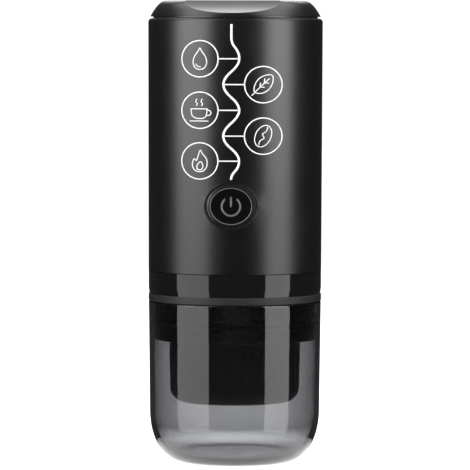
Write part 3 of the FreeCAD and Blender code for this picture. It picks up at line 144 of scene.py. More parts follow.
@dataclass(frozen=True)
class SolidFinish(Finish):
    """A solid, opaque material with a fine relief and a broad, faint mottle.

    The grain's size and the relief's height are given in millimetres, and the swing is how far
    the roughness wanders.
    """

    colour: str
    shade: str
    roughness: float
    swing: float = 0.05
    metallic: float = 0.0
    ior: float = 1.5
    grain_mm: float = 0.8
    relief_mm: float = 0.01
    coat: float = 0.0
    grain: Grain = Grain.EVEN

    FINE_DETAIL: ClassVar[float] = 3.0
    FINE_ROUGHNESS: ClassVar[float] = 0.6
    MOTTLE_MM: ClassVar[float] = 50 / 3
    MOTTLE_DETAIL: ClassVar[float] = 2.0
    MOTTLE_LOW: ClassVar[float] = 0.3
    MOTTLE_HIGH: ClassVar[float] = 0.7
    COAT_ROUGHNESS: ClassVar[float] = 0.05

    def fill(self, tree: bpy.types.NodeTree) -> None:
        """Adds colour, roughness and relief, from noise in object space.

        Args:
            tree: The material's empty node tree.
        """
        place = add_node(tree, "ShaderNodeTexCoord")
        sized = add_node(tree, "ShaderNodeMapping", {"Scale": self.grain.value},
                         {"Vector": place.outputs["Object"]})
        fine = add_node(tree, "ShaderNodeTexNoise",
                        {"Scale": 1 / (self.grain_mm * MM), "Detail": self.FINE_DETAIL,
                         "Roughness": self.FINE_ROUGHNESS},
                        {"Vector": sized.outputs["Vector"]})
        broad = add_node(tree, "ShaderNodeTexNoise",
                         {"Scale": 1 / (self.MOTTLE_MM * MM), "Detail": self.MOTTLE_DETAIL},
                         {"Vector": place.outputs["Object"]})
        colour = add_node(tree, "ShaderNodeMix",
                          {"A": linear(self.colour), "B": linear(self.shade)},
                          {"Factor": broad.outputs["Fac"]}, data_type="RGBA")
        rough = add_node(tree, "ShaderNodeMapRange",
                         {"From Min": self.MOTTLE_LOW, "From Max": self.MOTTLE_HIGH,
                          "To Min": self.roughness - self.swing,
                          "To Max": self.roughness + self.swing},
                         {"Value": broad.outputs["Fac"]})
        bump = add_node(tree, "ShaderNodeBump",
                        {"Strength": 1.0, "Distance": self.relief_mm * MM},
                        {"Height": fine.outputs["Fac"]})
        shader = add_node(tree, "ShaderNodeBsdfPrincipled",
                          {"Metallic": self.metallic, "IOR": self.ior, "Coat Weight": self.coat,
                           "Coat Roughness": self.COAT_ROUGHNESS},
                          {"Base Color": colour.outputs["Result"],
                           "Roughness": rough.outputs["Result"],
                           "Normal": bump.outputs["Normal"]})
        add_node(tree, "ShaderNodeOutputMaterial", links={"Surface": shader.outputs["BSDF"]})


@dataclass(frozen=True)
class ClearFinish(Finish):
    """A see-through plastic that darkens light along its path inside."""

    tint: str
    density: float
    roughness: float
    ior: float = 1.55

    SMEAR_MM: ClassVar[float] = 200 / 9
    SMEAR_DETAIL: ClassVar[float] = 2.0
    SMEAR_LOW: ClassVar[float] = 0.4
    SMEAR_HIGH: ClassVar[float] = 0.8
    SMEAR_SWING: ClassVar[float] = 0.03

    def fill(self, tree: bpy.types.NodeTree) -> None:
        """Adds the clear surface with its faint smears, and the absorption inside.

        Args:
            tree: The material's empty node tree.
        """
        place = add_node(tree, "ShaderNodeTexCoord")
        smear = add_node(tree, "ShaderNodeTexNoise",
                         {"Scale": 1 / (self.SMEAR_MM * MM), "Detail": self.SMEAR_DETAIL},
                         {"Vector": place.outputs["Object"]})
        rough = add_node(tree, "ShaderNodeMapRange",
                         {"From Min": self.SMEAR_LOW, "From Max": self.SMEAR_HIGH,
                          "To Min": self.roughness,
                          "To Max": self.roughness + self.SMEAR_SWING},
                         {"Value": smear.outputs["Fac"]})
        shader = add_node(tree, "ShaderNodeBsdfPrincipled",
                          {"Base Color": WHITE, "IOR": self.ior, "Transmission Weight": 1.0},
                          {"Roughness": rough.outputs["Result"]})
        fog = add_node(tree, "ShaderNodeVolumeAbsorption",
                       {"Color": linear(self.tint), "Density": self.density})
        add_node(tree, "ShaderNodeOutputMaterial",
                 links={"Surface": shader.outputs["BSDF"], "Volume": fog.outputs["Volume"]})


# ---------------------------------------------------------------- finishes of the real maker

# Injection-moulded ABS under a soft-touch paint: a wide, dim highlight with no sharp edge.
SOFT_TOUCH_ABS = SolidFinish("soft_touch_painted_abs", "040404", "070707", 0.33, swing=0.015,
                             ior=1.55, grain_mm=0.5, relief_mm=0.002)
# Piano-black ABS from a polished mould: mirror-like, with a faint waviness.
PIANO_BLACK_ABS = SolidFinish("piano_black_abs", "0e0e0f", "101011", 0.06, swing=0.02, grain_mm=9.0,
                              relief_mm=0.002)
# Gloss polycarbonate of the button cap: a deeper black than the band's.
GLOSS_POLYCARBONATE = SolidFinish("gloss_black_polycarbonate", "060607", "080809", 0.08, swing=0.02,
                                  ior=1.58, grain_mm=6.0, relief_mm=0.001)
# Satin ABS of the bezel: tighter highlight than the housing.
SATIN_ABS = SolidFinish("satin_black_abs", "111111", "151515", 0.25, swing=0.03, grain_mm=0.6,
                        relief_mm=0.002)
# Silver-lacquered ring round the button: metal flakes that shine from every side.
SILVER_LACQUER = SolidFinish("silver_lacquer", "727274", "69696b", 0.22, swing=0.04, metallic=0.5,
                             grain_mm=0.5, relief_mm=0.001)
# Moulded silicone seat ring: dull dark grey.
GREY_SILICONE = SolidFinish("moulded_grey_silicone", "171718", "1a1a1b", 0.55, swing=0.04, ior=1.43,
                            grain_mm=0.6, relief_mm=0.004)
# Black silicone rubber of the O-ring and the pump's feet.
BLACK_SILICONE = SolidFinish("black_silicone", "141414", "1a1a1a", 0.5, ior=1.43, grain_mm=0.6,
                             relief_mm=0.003)
# Hinged cover of the socket: smooth thermoplastic rubber that matches the band.
COVER_RUBBER = SolidFinish("smooth_thermoplastic_rubber", "0b0b0c", "0e0e0f", 0.22, swing=0.03,
                           ior=1.48, relief_mm=0.001)
# Glass-filled nylon: a satin black with a slight mottle from the fibres.
BLACK_NYLON = SolidFinish("glass_filled_nylon", "131313", "191919", 0.32, ior=1.53, grain_mm=0.9,
                          relief_mm=0.002)
# Deep-drawn stainless steel, brushed round its axis.
DRAWN_STEEL = SolidFinish("drawn_stainless_steel", "b9b8b5", "a8a7a4", 0.28, swing=0.06,
                          metallic=1.0, grain_mm=0.5, relief_mm=0.002, grain=Grain.BRUSHED)
# Silicone foam sleeve and shield: open, light-eating surface.
SILICONE_FOAM = SolidFinish("silicone_foam", "38383a", "48484a", 0.9, grain_mm=1.2, relief_mm=0.15)
# Die-cast aluminium heater: bright with a cast skin.
CAST_ALUMINIUM = SolidFinish("die_cast_aluminium", "b4b5b7", "a2a3a6", 0.45, swing=0.06,
                             metallic=1.0, grain_mm=0.9, relief_mm=0.02)
# Inner frame in natural dark ABS.
FRAME_ABS = SolidFinish("frame_abs", "2a2a2b", "303031", 0.5, relief_mm=0.005)
# Acetal pump case and cover: milky and waxy.
ACETAL = SolidFinish("white_acetal", "d9d7cf", "cfcdc4", 0.4, ior=1.48, relief_mm=0.003)
# Natural nylon gears: warm off-white.
NATURAL_NYLON = SolidFinish("natural_nylon", "e2dcc4", "d6cfb4", 0.42, ior=1.53, grain_mm=0.7,
                            relief_mm=0.003)
# Zinc-plated rolled steel of the motor can, rotor, pin and screws.
ZINC_STEEL = SolidFinish("zinc_plated_steel", "a3a5a8", "939599", 0.33, swing=0.06, metallic=1.0,
                         grain_mm=0.6, relief_mm=0.003)
# Moulded end cap of the motor and the switch's housing.
DARK_PBT = SolidFinish("dark_pbt", "1c1c1d", "232324", 0.48, grain_mm=0.7, relief_mm=0.004)
# Sintered ferrite magnets: dull charcoal with a granular break.
FERRITE = SolidFinish("sintered_ferrite", "2c2c2e", "343436", 0.7, swing=0.06, grain_mm=0.5,
                      relief_mm=0.02)
# Green solder mask over glass epoxy board.
SOLDER_MASK = SolidFinish("green_solder_mask", "0e4a2a", "125433", 0.3, ior=1.55, grain_mm=1.5,
                          coat=0.3)
# Brown phenolic plunger of the tact switch.
BROWN_PHENOLIC = SolidFinish("brown_phenolic", "6a4a30", "5c3f28", 0.45, grain_mm=0.6,
                             relief_mm=0.003)
# Nickel strip spot-welded to the cells.
NICKEL_STRIP = SolidFinish("rolled_nickel_strip", "c2bfb6", "b3b0a6", 0.3, swing=0.06, metallic=1.0,
                           grain_mm=0.5, relief_mm=0.003, grain=Grain.BRUSHED)
# PVC shrink sleeve on the cells: glossy blue.
CELL_SLEEVE = SolidFinish("pvc_shrink_sleeve", "1c4f8f", "194580", 0.22, ior=1.53, grain_mm=5.0,
                          relief_mm=0.02)
# Stainless shell of the charging socket.
SOCKET_STEEL = SolidFinish("stamped_stainless", "b7b6b3", "a9a8a5", 0.25, metallic=1.0,
                           grain_mm=0.5, relief_mm=0.002)
# Steatite body of the thermal cutout: matt cream ceramic.
STEATITE = SolidFinish("steatite_ceramic", "d8d2c2", "cbc5b4", 0.65, grain_mm=0.6)
# Pad-printed white ink: flat, slightly grey, and a little proud of the paint.
PRINT_INK = SolidFinish("pad_print_white_ink", "dededc", "d2d2d0", 0.55, grain_mm=0.4,
                        relief_mm=0.004)
# Grey ink of the button's symbol.
MARK_INK = SolidFinish("pad_print_grey_ink", "505050", "4a4a4a", 0.5, grain_mm=0.4, relief_mm=0.003)
# Smoked copolyester of the cup: clear, and darker the more of it light crosses.
SMOKED_COPOLYESTER = ClearFinish("smoked_copolyester", "8e8f92", 960.0, 0.03)
# Milky silicone of gaskets and hoses: soft, and drawn opaque because it lies inside.
CLEAR_SILICONE = SolidFinish("translucent_silicone", "d8d8d2", "cfcfc8", 0.45, ior=1.43,
                             grain_mm=0.9, relief_mm=0.004)


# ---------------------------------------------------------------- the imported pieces, by group


@dataclass(frozen=True)
class SubAssembly:
    """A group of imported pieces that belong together, with the finish of each."""

    name: str
    finishes: dict[str, Finish]

    def dress(self) -> None:
        """Gives each piece of the group the finish of its real one."""
        for piece, finish in self.finishes.items():
            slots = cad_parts[piece].data.materials
            slots.clear()
            slots.append(finish.material())
            log.info("dressed %s of the %s in %s", piece, self.name, finish.name)


SUB_ASSEMBLIES = (
    SubAssembly("cup and base", {
        "cup": SMOKED_COPOLYESTER,
        "cup_oring": BLACK_SILICONE,
        "seat_ring": GREY_SILICONE,
        "base_collar": PIANO_BLACK_ABS,
        "port_cover": COVER_RUBBER,
        "charge_socket": SOCKET_STEEL,
        "charge_board": SOLDER_MASK,
        "collar_screws": ZINC_STEEL,
    }),
    SubAssembly("lid", {
        "lid_shell": SOFT_TOUCH_ABS,
        "lid_liner": BLACK_NYLON,
        "lid_seal": CLEAR_SILICONE,
    }),
    SubAssembly("housing", {
        "body_shell": SOFT_TOUCH_ABS,
        "tank_collar": BLACK_NYLON,
        "chassis": FRAME_ABS,
        "chassis_screws": ZINC_STEEL,
    }),
    SubAssembly("button and switch", {
        "button_bezel": SATIN_ABS,
        "power_button": GLOSS_POLYCARBONATE,
        "button_trim": SILVER_LACQUER,
        "switch_body": DARK_PBT,
        "switch_plunger": BROWN_PHENOLIC,
        "circuit_board": SOLDER_MASK,
        "board_components": DARK_PBT,
        "board_screws": ZINC_STEEL,
    }),
    SubAssembly("water and heat", {
        "water_tank": DRAWN_STEEL,
        "tank_gasket": CLEAR_SILICONE,
        "tank_outlet": DRAWN_STEEL,
        "tank_sleeve": SILICONE_FOAM,
        "heat_shield": SILICONE_FOAM,
        "heater_plate": CAST_ALUMINIUM,
        "thermal_cutout": STEATITE,
        "inlet_hose": CLEAR_SILICONE,
        "outlet_hose": CLEAR_SILICONE,
    }),
    SubAssembly("pump and motor", {
        "pump_case": ACETAL,
        "pump_cover": ACETAL,
        "drive_gear": NATURAL_NYLON,
        "idler_gear": NATURAL_NYLON,
        "idler_pin": ZINC_STEEL,
        "pump_mounts": BLACK_SILICONE,
        "pump_screws": ZINC_STEEL,
        "motor_can": ZINC_STEEL,
        "motor_end_cap": DARK_PBT,
        "motor_magnets": FERRITE,
        "motor_rotor": ZINC_STEEL,
    }),
    SubAssembly("battery", {
        "battery_cell_1": CELL_SLEEVE,
        "battery_cell_2": CELL_SLEEVE,
        "battery_cell_3": CELL_SLEEVE,
        "cell_tabs": NICKEL_STRIP,
    }),
    SubAssembly("brewing parts", {
        "brew_head": BLACK_NYLON,
        "head_gasket": CLEAR_SILICONE,
        "head_screws": ZINC_STEEL,
        "shower_screen": DRAWN_STEEL,
        "shower_screw": ZINC_STEEL,
        "filter_basket": DRAWN_STEEL,
        "capsule_holder": BLACK_NYLON,
    }),
)


def dress_groups() -> None:
    """Dresses every group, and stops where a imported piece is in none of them."""
    for group in SUB_ASSEMBLIES:
        group.dress()
    bare = set(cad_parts).difference(*(group.finishes for group in SUB_ASSEMBLIES))
    if bare:
        raise ValueError(f"no finish for {sorted(bare)}")


# ---------------------------------------------------------------- printed marks

Point = tuple[float, float]

OVAL_STEPS, ARC_STEPS, BAR_STEPS = 24, 13, 8
SPLINE_ORDER, SPLINE_STEPS = 3, 5
DOT_SIDES = 24


def select_only(thing: bpy.types.Object) -> None:
    """Deselects everything and makes one object selected and active.

    Args:
        thing: The object.
    """
    bpy.ops.object.select_all(action="DESELECT")
    thing.select_set(True)
    bpy.context.view_layer.objects.active = thing


def apply_modifier(thing: bpy.types.Object, kind: str, **settings: Any) -> None:
    """Adds a modifier and applies it at once.

    Args:
        thing: The object that takes it.
        kind: The modifier's type, such as "SOLIDIFY".
        **settings: The modifier's own options.
    """
    select_only(thing)
    made = thing.modifiers.new(kind.lower(), kind)
    for name, value in settings.items():
        setattr(made, name, value)
    bpy.ops.object.modifier_apply(modifier=made.name)


@dataclass(frozen=True)
class Stroke:
    """One printed line: its points across and up in millimetres, and how it runs."""

    points: tuple[Point, ...]
    closed: bool = False


def oval(across: float, up: float, half_width: float, half_height: float, lean: float = 0.0,
         start: float = 0.0, sweep: float = FULL_TURN) -> Stroke:
    """Draws an oval, or an arc of one.

    Args:
        across: Its centre's place across, in millimetres.
        up: Its centre's place up, in millimetres.
        half_width: Half its width.
        half_height: Half its height.
        lean: How far it is turned, in degrees.
        start: Where an arc starts, in degrees from the right.
        sweep: How far an arc runs.

    Returns:
        The stroke.
    """
    closed = sweep >= FULL_TURN
    steps = OVAL_STEPS if closed else ARC_STEPS
    turn = math.radians(lean)
    points = []
    for step in range(steps):
        angle = math.radians(start + sweep * step / (steps if closed else steps - 1))
        x, y = half_width * math.cos(angle), half_height * math.sin(angle)
        points.append((across + x * math.cos(turn) - y * math.sin(turn),
                       up + x * math.sin(turn) + y * math.cos(turn)))
    return Stroke(tuple(points), closed)


def bar(start: Point, end: Point) -> Stroke:
    """Draws a straight line, with points enough on the way to follow a round piece.

    Args:
        start: One end, in millimetres across and up.
        end: The other end.

    Returns:
        The stroke.
    """
    return Stroke(tuple((start[0] + (end[0] - start[0]) * step / BAR_STEPS,
                         start[1] + (end[1] - start[1]) * step / BAR_STEPS)
                        for step in range(BAR_STEPS + 1)))


def moved(strokes: Iterable[Stroke], across: float, up: float) -> list[Stroke]:
    """Moves strokes across and up."""
    return [Stroke(tuple((x + across, y + up) for x, y in s.points), s.closed) for s in strokes]


@dataclass
class Print:
    """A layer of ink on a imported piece's front.

    It is drawn flat, stood up in front of the piece, and laid back onto its face.
    """

    name: str
    target: str
    body: str
    finish: Finish
    film_mm: float = 0.035
    lift_mm: float = 0.025
    stand_off_mm: float = 60.0
    sheets: list[bpy.types.Object] = field(default_factory=list)

    def draw(self, strokes: Iterable[Stroke], width: float) -> None:
        """Draws strokes of one width, flat and upright in front of the piece.

        Args:
            strokes: The lines to draw, in millimetres across and up.
            width: The lines' width in millimetres.
        """
        curve = bpy.data.curves.new(self.name + "_line", "CURVE")
        curve.dimensions = "3D"
        curve.twist_mode = "Z_UP"
        curve.extrude = width / 2 * MM
        for stroke in strokes:
            spline = curve.splines.new("NURBS")
            spline.points.add(len(stroke.points) - 1)
            for point, (x, y) in zip(spline.points, stroke.points):
                point.co = (x * MM, y * MM, 0.0, 1.0)
                point.tilt = math.pi / 2
            spline.use_cyclic_u = stroke.closed
            spline.order_u = SPLINE_ORDER
            spline.use_endpoint_u = not stroke.closed
            spline.resolution_u = SPLINE_STEPS
        line = bpy.data.objects.new(self.name + "_line", curve)
        bpy.context.scene.collection.objects.link(line)
        select_only(line)
        bpy.ops.object.convert(target="MESH")
        self.stand_up(bpy.context.object)

    def dot(self, across: float, up: float, radius: float) -> None:
        """Prints a filled dot.

        Args:
            across: Its place across, in millimetres.
            up: Its place up, in millimetres.
            radius: Its radius in millimetres.
        """
        bpy.ops.object.select_all(action="DESELECT")
        bpy.ops.mesh.primitive_circle_add(vertices=DOT_SIDES, radius=radius * MM,
                                          fill_type="TRIFAN", location=(across * MM, up * MM, 0))
        bpy.ops.object.transform_apply(location=True, rotation=False, scale=False)
        self.stand_up(bpy.context.object)

    def stand_up(self, sheet: bpy.types.Object) -> None:
        """Turns a flat drawing upright, in front of the piece.

        Args:
            sheet: The drawing's mesh.
        """
        select_only(sheet)
        sheet.rotation_euler = (math.radians(UPRIGHT), 0, 0)
        sheet.location = (0, -self.stand_off_mm * MM, 0)
        bpy.ops.object.transform_apply(location=True, rotation=True, scale=True)
        self.sheets.append(sheet)

    def lay_on(self) -> None:
        """Lays the ink on the piece and gives it its film's thickness."""
        bpy.ops.object.select_all(action="DESELECT")
        for sheet in self.sheets:
            sheet.select_set(True)
        bpy.context.view_layer.objects.active = self.sheets[0]
        bpy.ops.object.join()
        ink = bpy.context.object
        ink.name = ink.data.name = self.name
        apply_modifier(ink, "SHRINKWRAP", target=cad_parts[self.target],
                       wrap_method="PROJECT", use_project_y=True, use_positive_direction=True,
                       use_negative_direction=False, project_limit=0.0)
        bpy.ops.object.mode_set(mode="EDIT")
        bpy.ops.mesh.select_all(action="SELECT")
        bpy.ops.transform.translate(value=(0, -self.lift_mm * MM, 0))
        bpy.ops.object.mode_set(mode="OBJECT")
        for face in ink.data.polygons:
            face.select = face.normal.y > 0
        bpy.ops.object.mode_set(mode="EDIT")
        bpy.ops.mesh.flip_normals()
        bpy.ops.object.mode_set(mode="OBJECT")
        apply_modifier(ink, "SOLIDIFY", thickness=self.film_mm * MM, offset=1.0)
        ink.data.materials.clear()
        ink.data.materials.append(self.finish.material())
        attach(ink, self.body)
        log.info("printed %s: %d faces", self.name, len(ink.data.polygons))


@dataclass
class TrailPrint:
    """The white print above the button: a winding line with five oval badges.

    Places are millimetres across from the middle and up from the foot. The motifs' points are
    millimetres from their badge's centre.
    """

    top: float = 191.0
    bottom: float = 124.6
    lead_in: float = 4.0
    lead_out: float = 2.0
    swing: float = 3.4
    half_bend: float = 2.6
    badge_width: float = 16.0
    badge_height: float = 15.7
    badge_across: float = 13.6
    heights: tuple[float, ...] = (176.3, 165.3, 154.3, 143.3, 132.6)
    line_width: float = 0.95
    ring_width: float = 0.52
    fine_width: float = 0.42

    def line(self) -> Stroke:
        """Draws the winding line, which leans away from each badge.

        Returns:
            The stroke.
        """
        points = [(0.0, self.top - self.lead_in * step) for step in range(3)]
        for place, height in enumerate(self.heights):
            side = 1 if place % 2 == 0 else -1
            points.append((side * self.swing, height + self.half_bend))
            points.append((side * self.swing, height - self.half_bend))
        points += [(0.0, self.bottom + self.lead_out), (0.0, self.bottom)]
        return Stroke(tuple(points))

    def drop(self) -> list[Stroke]:
        """Draws a water drop with a highlight.

        Returns:
            Its strokes.
        """
        edge = ((0.0, 5.0), (0.6, 3.4), (2.4, 1.2), (3.2, -1.4), (2.2, -4.0), (0.0, -4.7),
                (-2.2, -4.0), (-3.2, -1.4), (-2.4, 1.2), (-0.6, 3.4))
        return [Stroke(edge, True), oval(0.0, -1.4, 1.9, 2.0, start=200, sweep=80)]

    def cup(self) -> list[Stroke]:
        """Draws a cup on a saucer, with two wisps of steam.

        Returns:
            Its strokes.
        """
        bowl = ((-3.8, 0.6), (-3.8, 0.6), (-3.6, -2.4), (-1.6, -3.5), (0.0, -3.5), (1.6, -3.5),
                (3.0, -2.4), (3.2, 0.6), (3.2, 0.6))
        wisps = [Stroke(((x, 1.9), (x + 0.9, 2.7), (x - 0.5, 3.7), (x + 0.4, 4.9)))
                 for x in (-1.6, 0.7)]
        return [Stroke(bowl), bar((-4.0, 0.6), (3.4, 0.6)), bar((-4.4, -4.6), (3.8, -4.6)),
                oval(3.3, -1.1, 1.6, 1.2, start=-95, sweep=190)] + wisps

    def bean(self) -> list[Stroke]:
        """Draws a coffee bean with its crease.

        Returns:
            Its strokes.
        """
        crease = ((-1.9, -3.9), (-1.8, -2.0), (0.9, -0.9), (-0.8, 0.9), (1.8, 2.0), (1.9, 3.9))
        return [oval(0.0, 0.0, 3.3, 4.9, lean=-26.0), Stroke(crease)]

    def flame(self) -> list[Stroke]:
        """Draws a flame with a smaller one inside.

        Returns:
            Its strokes.
        """
        outer = ((0.3, 5.2), (1.0, 3.2), (3.2, 1.0), (3.4, -2.2), (1.6, -4.6), (-1.6, -4.6),
                 (-3.4, -2.4), (-3.0, 0.2), (-2.2, 1.2), (-1.4, -0.4), (-0.6, 2.6))
        inner = ((0.4, 0.2), (1.6, -1.8), (1.0, -3.8), (-1.0, -3.8), (-1.4, -2.0))
        return [Stroke(outer, True), Stroke(inner, True)]

    def leaf(self) -> list[Stroke]:
        """Draws a leaf with its veins.

        Returns:
            Its strokes.
        """
        edge = ((-4.0, -3.6), (-3.9, -0.6), (-2.0, 2.8), (1.4, 4.3), (4.2, 4.2), (4.2, 1.2),
                (2.6, -2.2), (-0.6, -3.9))
        vein = ((-4.9, -4.7), (-2.4, -2.0), (2.6, 2.7))
        ribs = [bar((x, x + 0.3), (x + dx, x + 0.3 + dy))
                for x in (-1.4, 0.4) for dx, dy in ((0.2, 2.0), (2.0, 0.0))]
        return [Stroke(edge, True), Stroke(vein)] + ribs

    def build(self) -> None:
        """Prints the whole design on the housing."""
        ink = Print("trail_print", "body_shell", "machine", PRINT_INK)
        motifs = (self.drop(), self.leaf(), self.cup(), self.bean(), self.flame())
        rings, fine = [], []
        for place, (height, motif) in enumerate(zip(self.heights, motifs)):
            side = -1 if place % 2 == 0 else 1
            across = side * self.badge_across
            rings.append(oval(across, height, self.badge_width / 2, self.badge_height / 2))
            edge = across - side * self.badge_width / 2
            rings.append(bar((edge, height), (-side * self.swing, height)))
            fine += moved(motif, across, height)
        ink.draw([self.line()], self.line_width)
        ink.draw(rings, self.ring_width)
        ink.draw(fine, self.fine_width)
        ink.lay_on()


@dataclass
class PowerMark:
    """The power symbol on the button: an open ring with a bar through its gap."""

    up: float = 113.2
    ring_radius: float = 4.05
    gap: float = 84.0
    arc: float = 275.9
    bar_top: float = 117.05
    bar_bottom: float = 113.35
    width: float = 0.86

    def build(self) -> None:
        """Prints the symbol on the button's face."""
        ink = Print("power_mark", "power_button", "button", MARK_INK)
        ring = oval(0.0, self.up, self.ring_radius, self.ring_radius,
                    start=UPRIGHT + self.gap / 2, sweep=self.arc)
        ink.draw([ring, bar((0.0, self.bar_bottom), (0.0, self.bar_top))], self.width)
        for up in (self.bar_bottom, self.bar_top):
            ink.dot(0.0, up, self.width / 2)
        for side in (-1, 1):
            angle = math.radians(UPRIGHT + side * self.gap / 2)
            ink.dot(self.ring_radius * math.cos(angle),
                    self.up + self.ring_radius * math.sin(angle), self.width / 2)
        ink.lay_on()


# ---------------------------------------------------------------- light, floor and camera

LEFT_SPAN, RIGHT_SPAN = (-80.5, -33.8), (39.5, 75.5)


def towards(turn: float, lift: float = 0.0) -> Vector:
    """Gives the direction at an angle round the maker's axis and above the floor.

    Args:
        turn: The angle round the axis in radians, 0 in front and rising towards +X.
        lift: The angle above the floor in radians.

    Returns:
        The direction, one metre long.
    """
    return Vector((math.sin(turn) * math.cos(lift), -math.cos(turn) * math.cos(lift),
                   math.sin(lift)))


def area_light(name: str, place: Vector, facing: Vector, size: tuple[float, float],
               power: float) -> bpy.types.Object:
    """Places a rectangular light.

    Args:
        name: The light's name.
        place: Where its middle is.
        facing: The direction that it shines in.
        size: Its width and height.
        power: Its power in watts.

    Returns:
        The light.
    """
    bpy.ops.object.light_add(type="AREA", location=place)
    light = bpy.context.object
    light.name = name
    light.data.shape = "RECTANGLE"
    light.data.size, light.data.size_y = size
    light.data.energy = power
    light.rotation_euler = facing.to_track_quat("-Z", "Y").to_euler()
    log.info("placed %s", name)
    return light


@dataclass(frozen=True)
class Softbox:
    """An upright soft light that the glossy faces mirror as a column.

    Its span is the angles of its two edges from the camera's line, in degrees, positive to the
    camera's right. Its distance is from the maker's axis, and a radiance of 1 shows as white.
    """

    name: str
    span: tuple[float, float]
    radiance: float
    bottom: float = -0.17
    top: float = 1.1
    distance: float = 0.45

    def build(self, azimuth: float) -> None:
        """Places the light.

        Args:
            azimuth: The camera's angle round the maker, in degrees.
        """
        low, high = (math.radians(edge + azimuth) for edge in self.span)
        size = (2 * self.distance * math.tan((high - low) / 2), self.top - self.bottom)
        side = towards((low + high) / 2) * self.distance
        place = Vector((side.x, side.y, (self.bottom + self.top) / 2))
        area_light(self.name, place, -side, size, self.radiance * math.pi * size[0] * size[1])


@dataclass(frozen=True)
class HighPanel:
    """A soft light high up, for the lid and the other upward faces.

    Its turn is from the camera's line, positive to the camera's right, and its lift is above
    the floor, both in degrees. A radiance of 1 shows as white.
    """

    name: str
    turn: float
    lift: float
    radiance: float
    size: tuple[float, float]
    distance: float = 1.2

    def build(self, azimuth: float) -> None:
        """Places the light.

        Args:
            azimuth: The camera's angle round the maker, in degrees.
        """
        place = towards(math.radians(self.turn + azimuth), math.radians(self.lift))
        place *= self.distance
        area_light(self.name, place, -place, self.size,
                   self.radiance * math.pi * self.size[0] * self.size[1])


@dataclass(frozen=True)
class FrontFill:
    """A soft front light that reflections don't show, for the print and the rubber."""

    name: str = "front_fill"
    strength: float = 0.72
    distance: float = 1.0
    rise: float = 0.25
    side: float = 0.6

    def build(self, azimuth: float) -> None:
        """Places the light.

        Args:
            azimuth: The camera's angle round the maker, in degrees.
        """
        back = towards(math.radians(azimuth)) + Vector((0, 0, self.rise))
        place = back * self.distance
        light = area_light(self.name, place, -back, (self.side, self.side),
                           self.strength * math.pi ** 2 * place.length_squared)
        light.visible_glossy = False
        light.visible_transmission = False


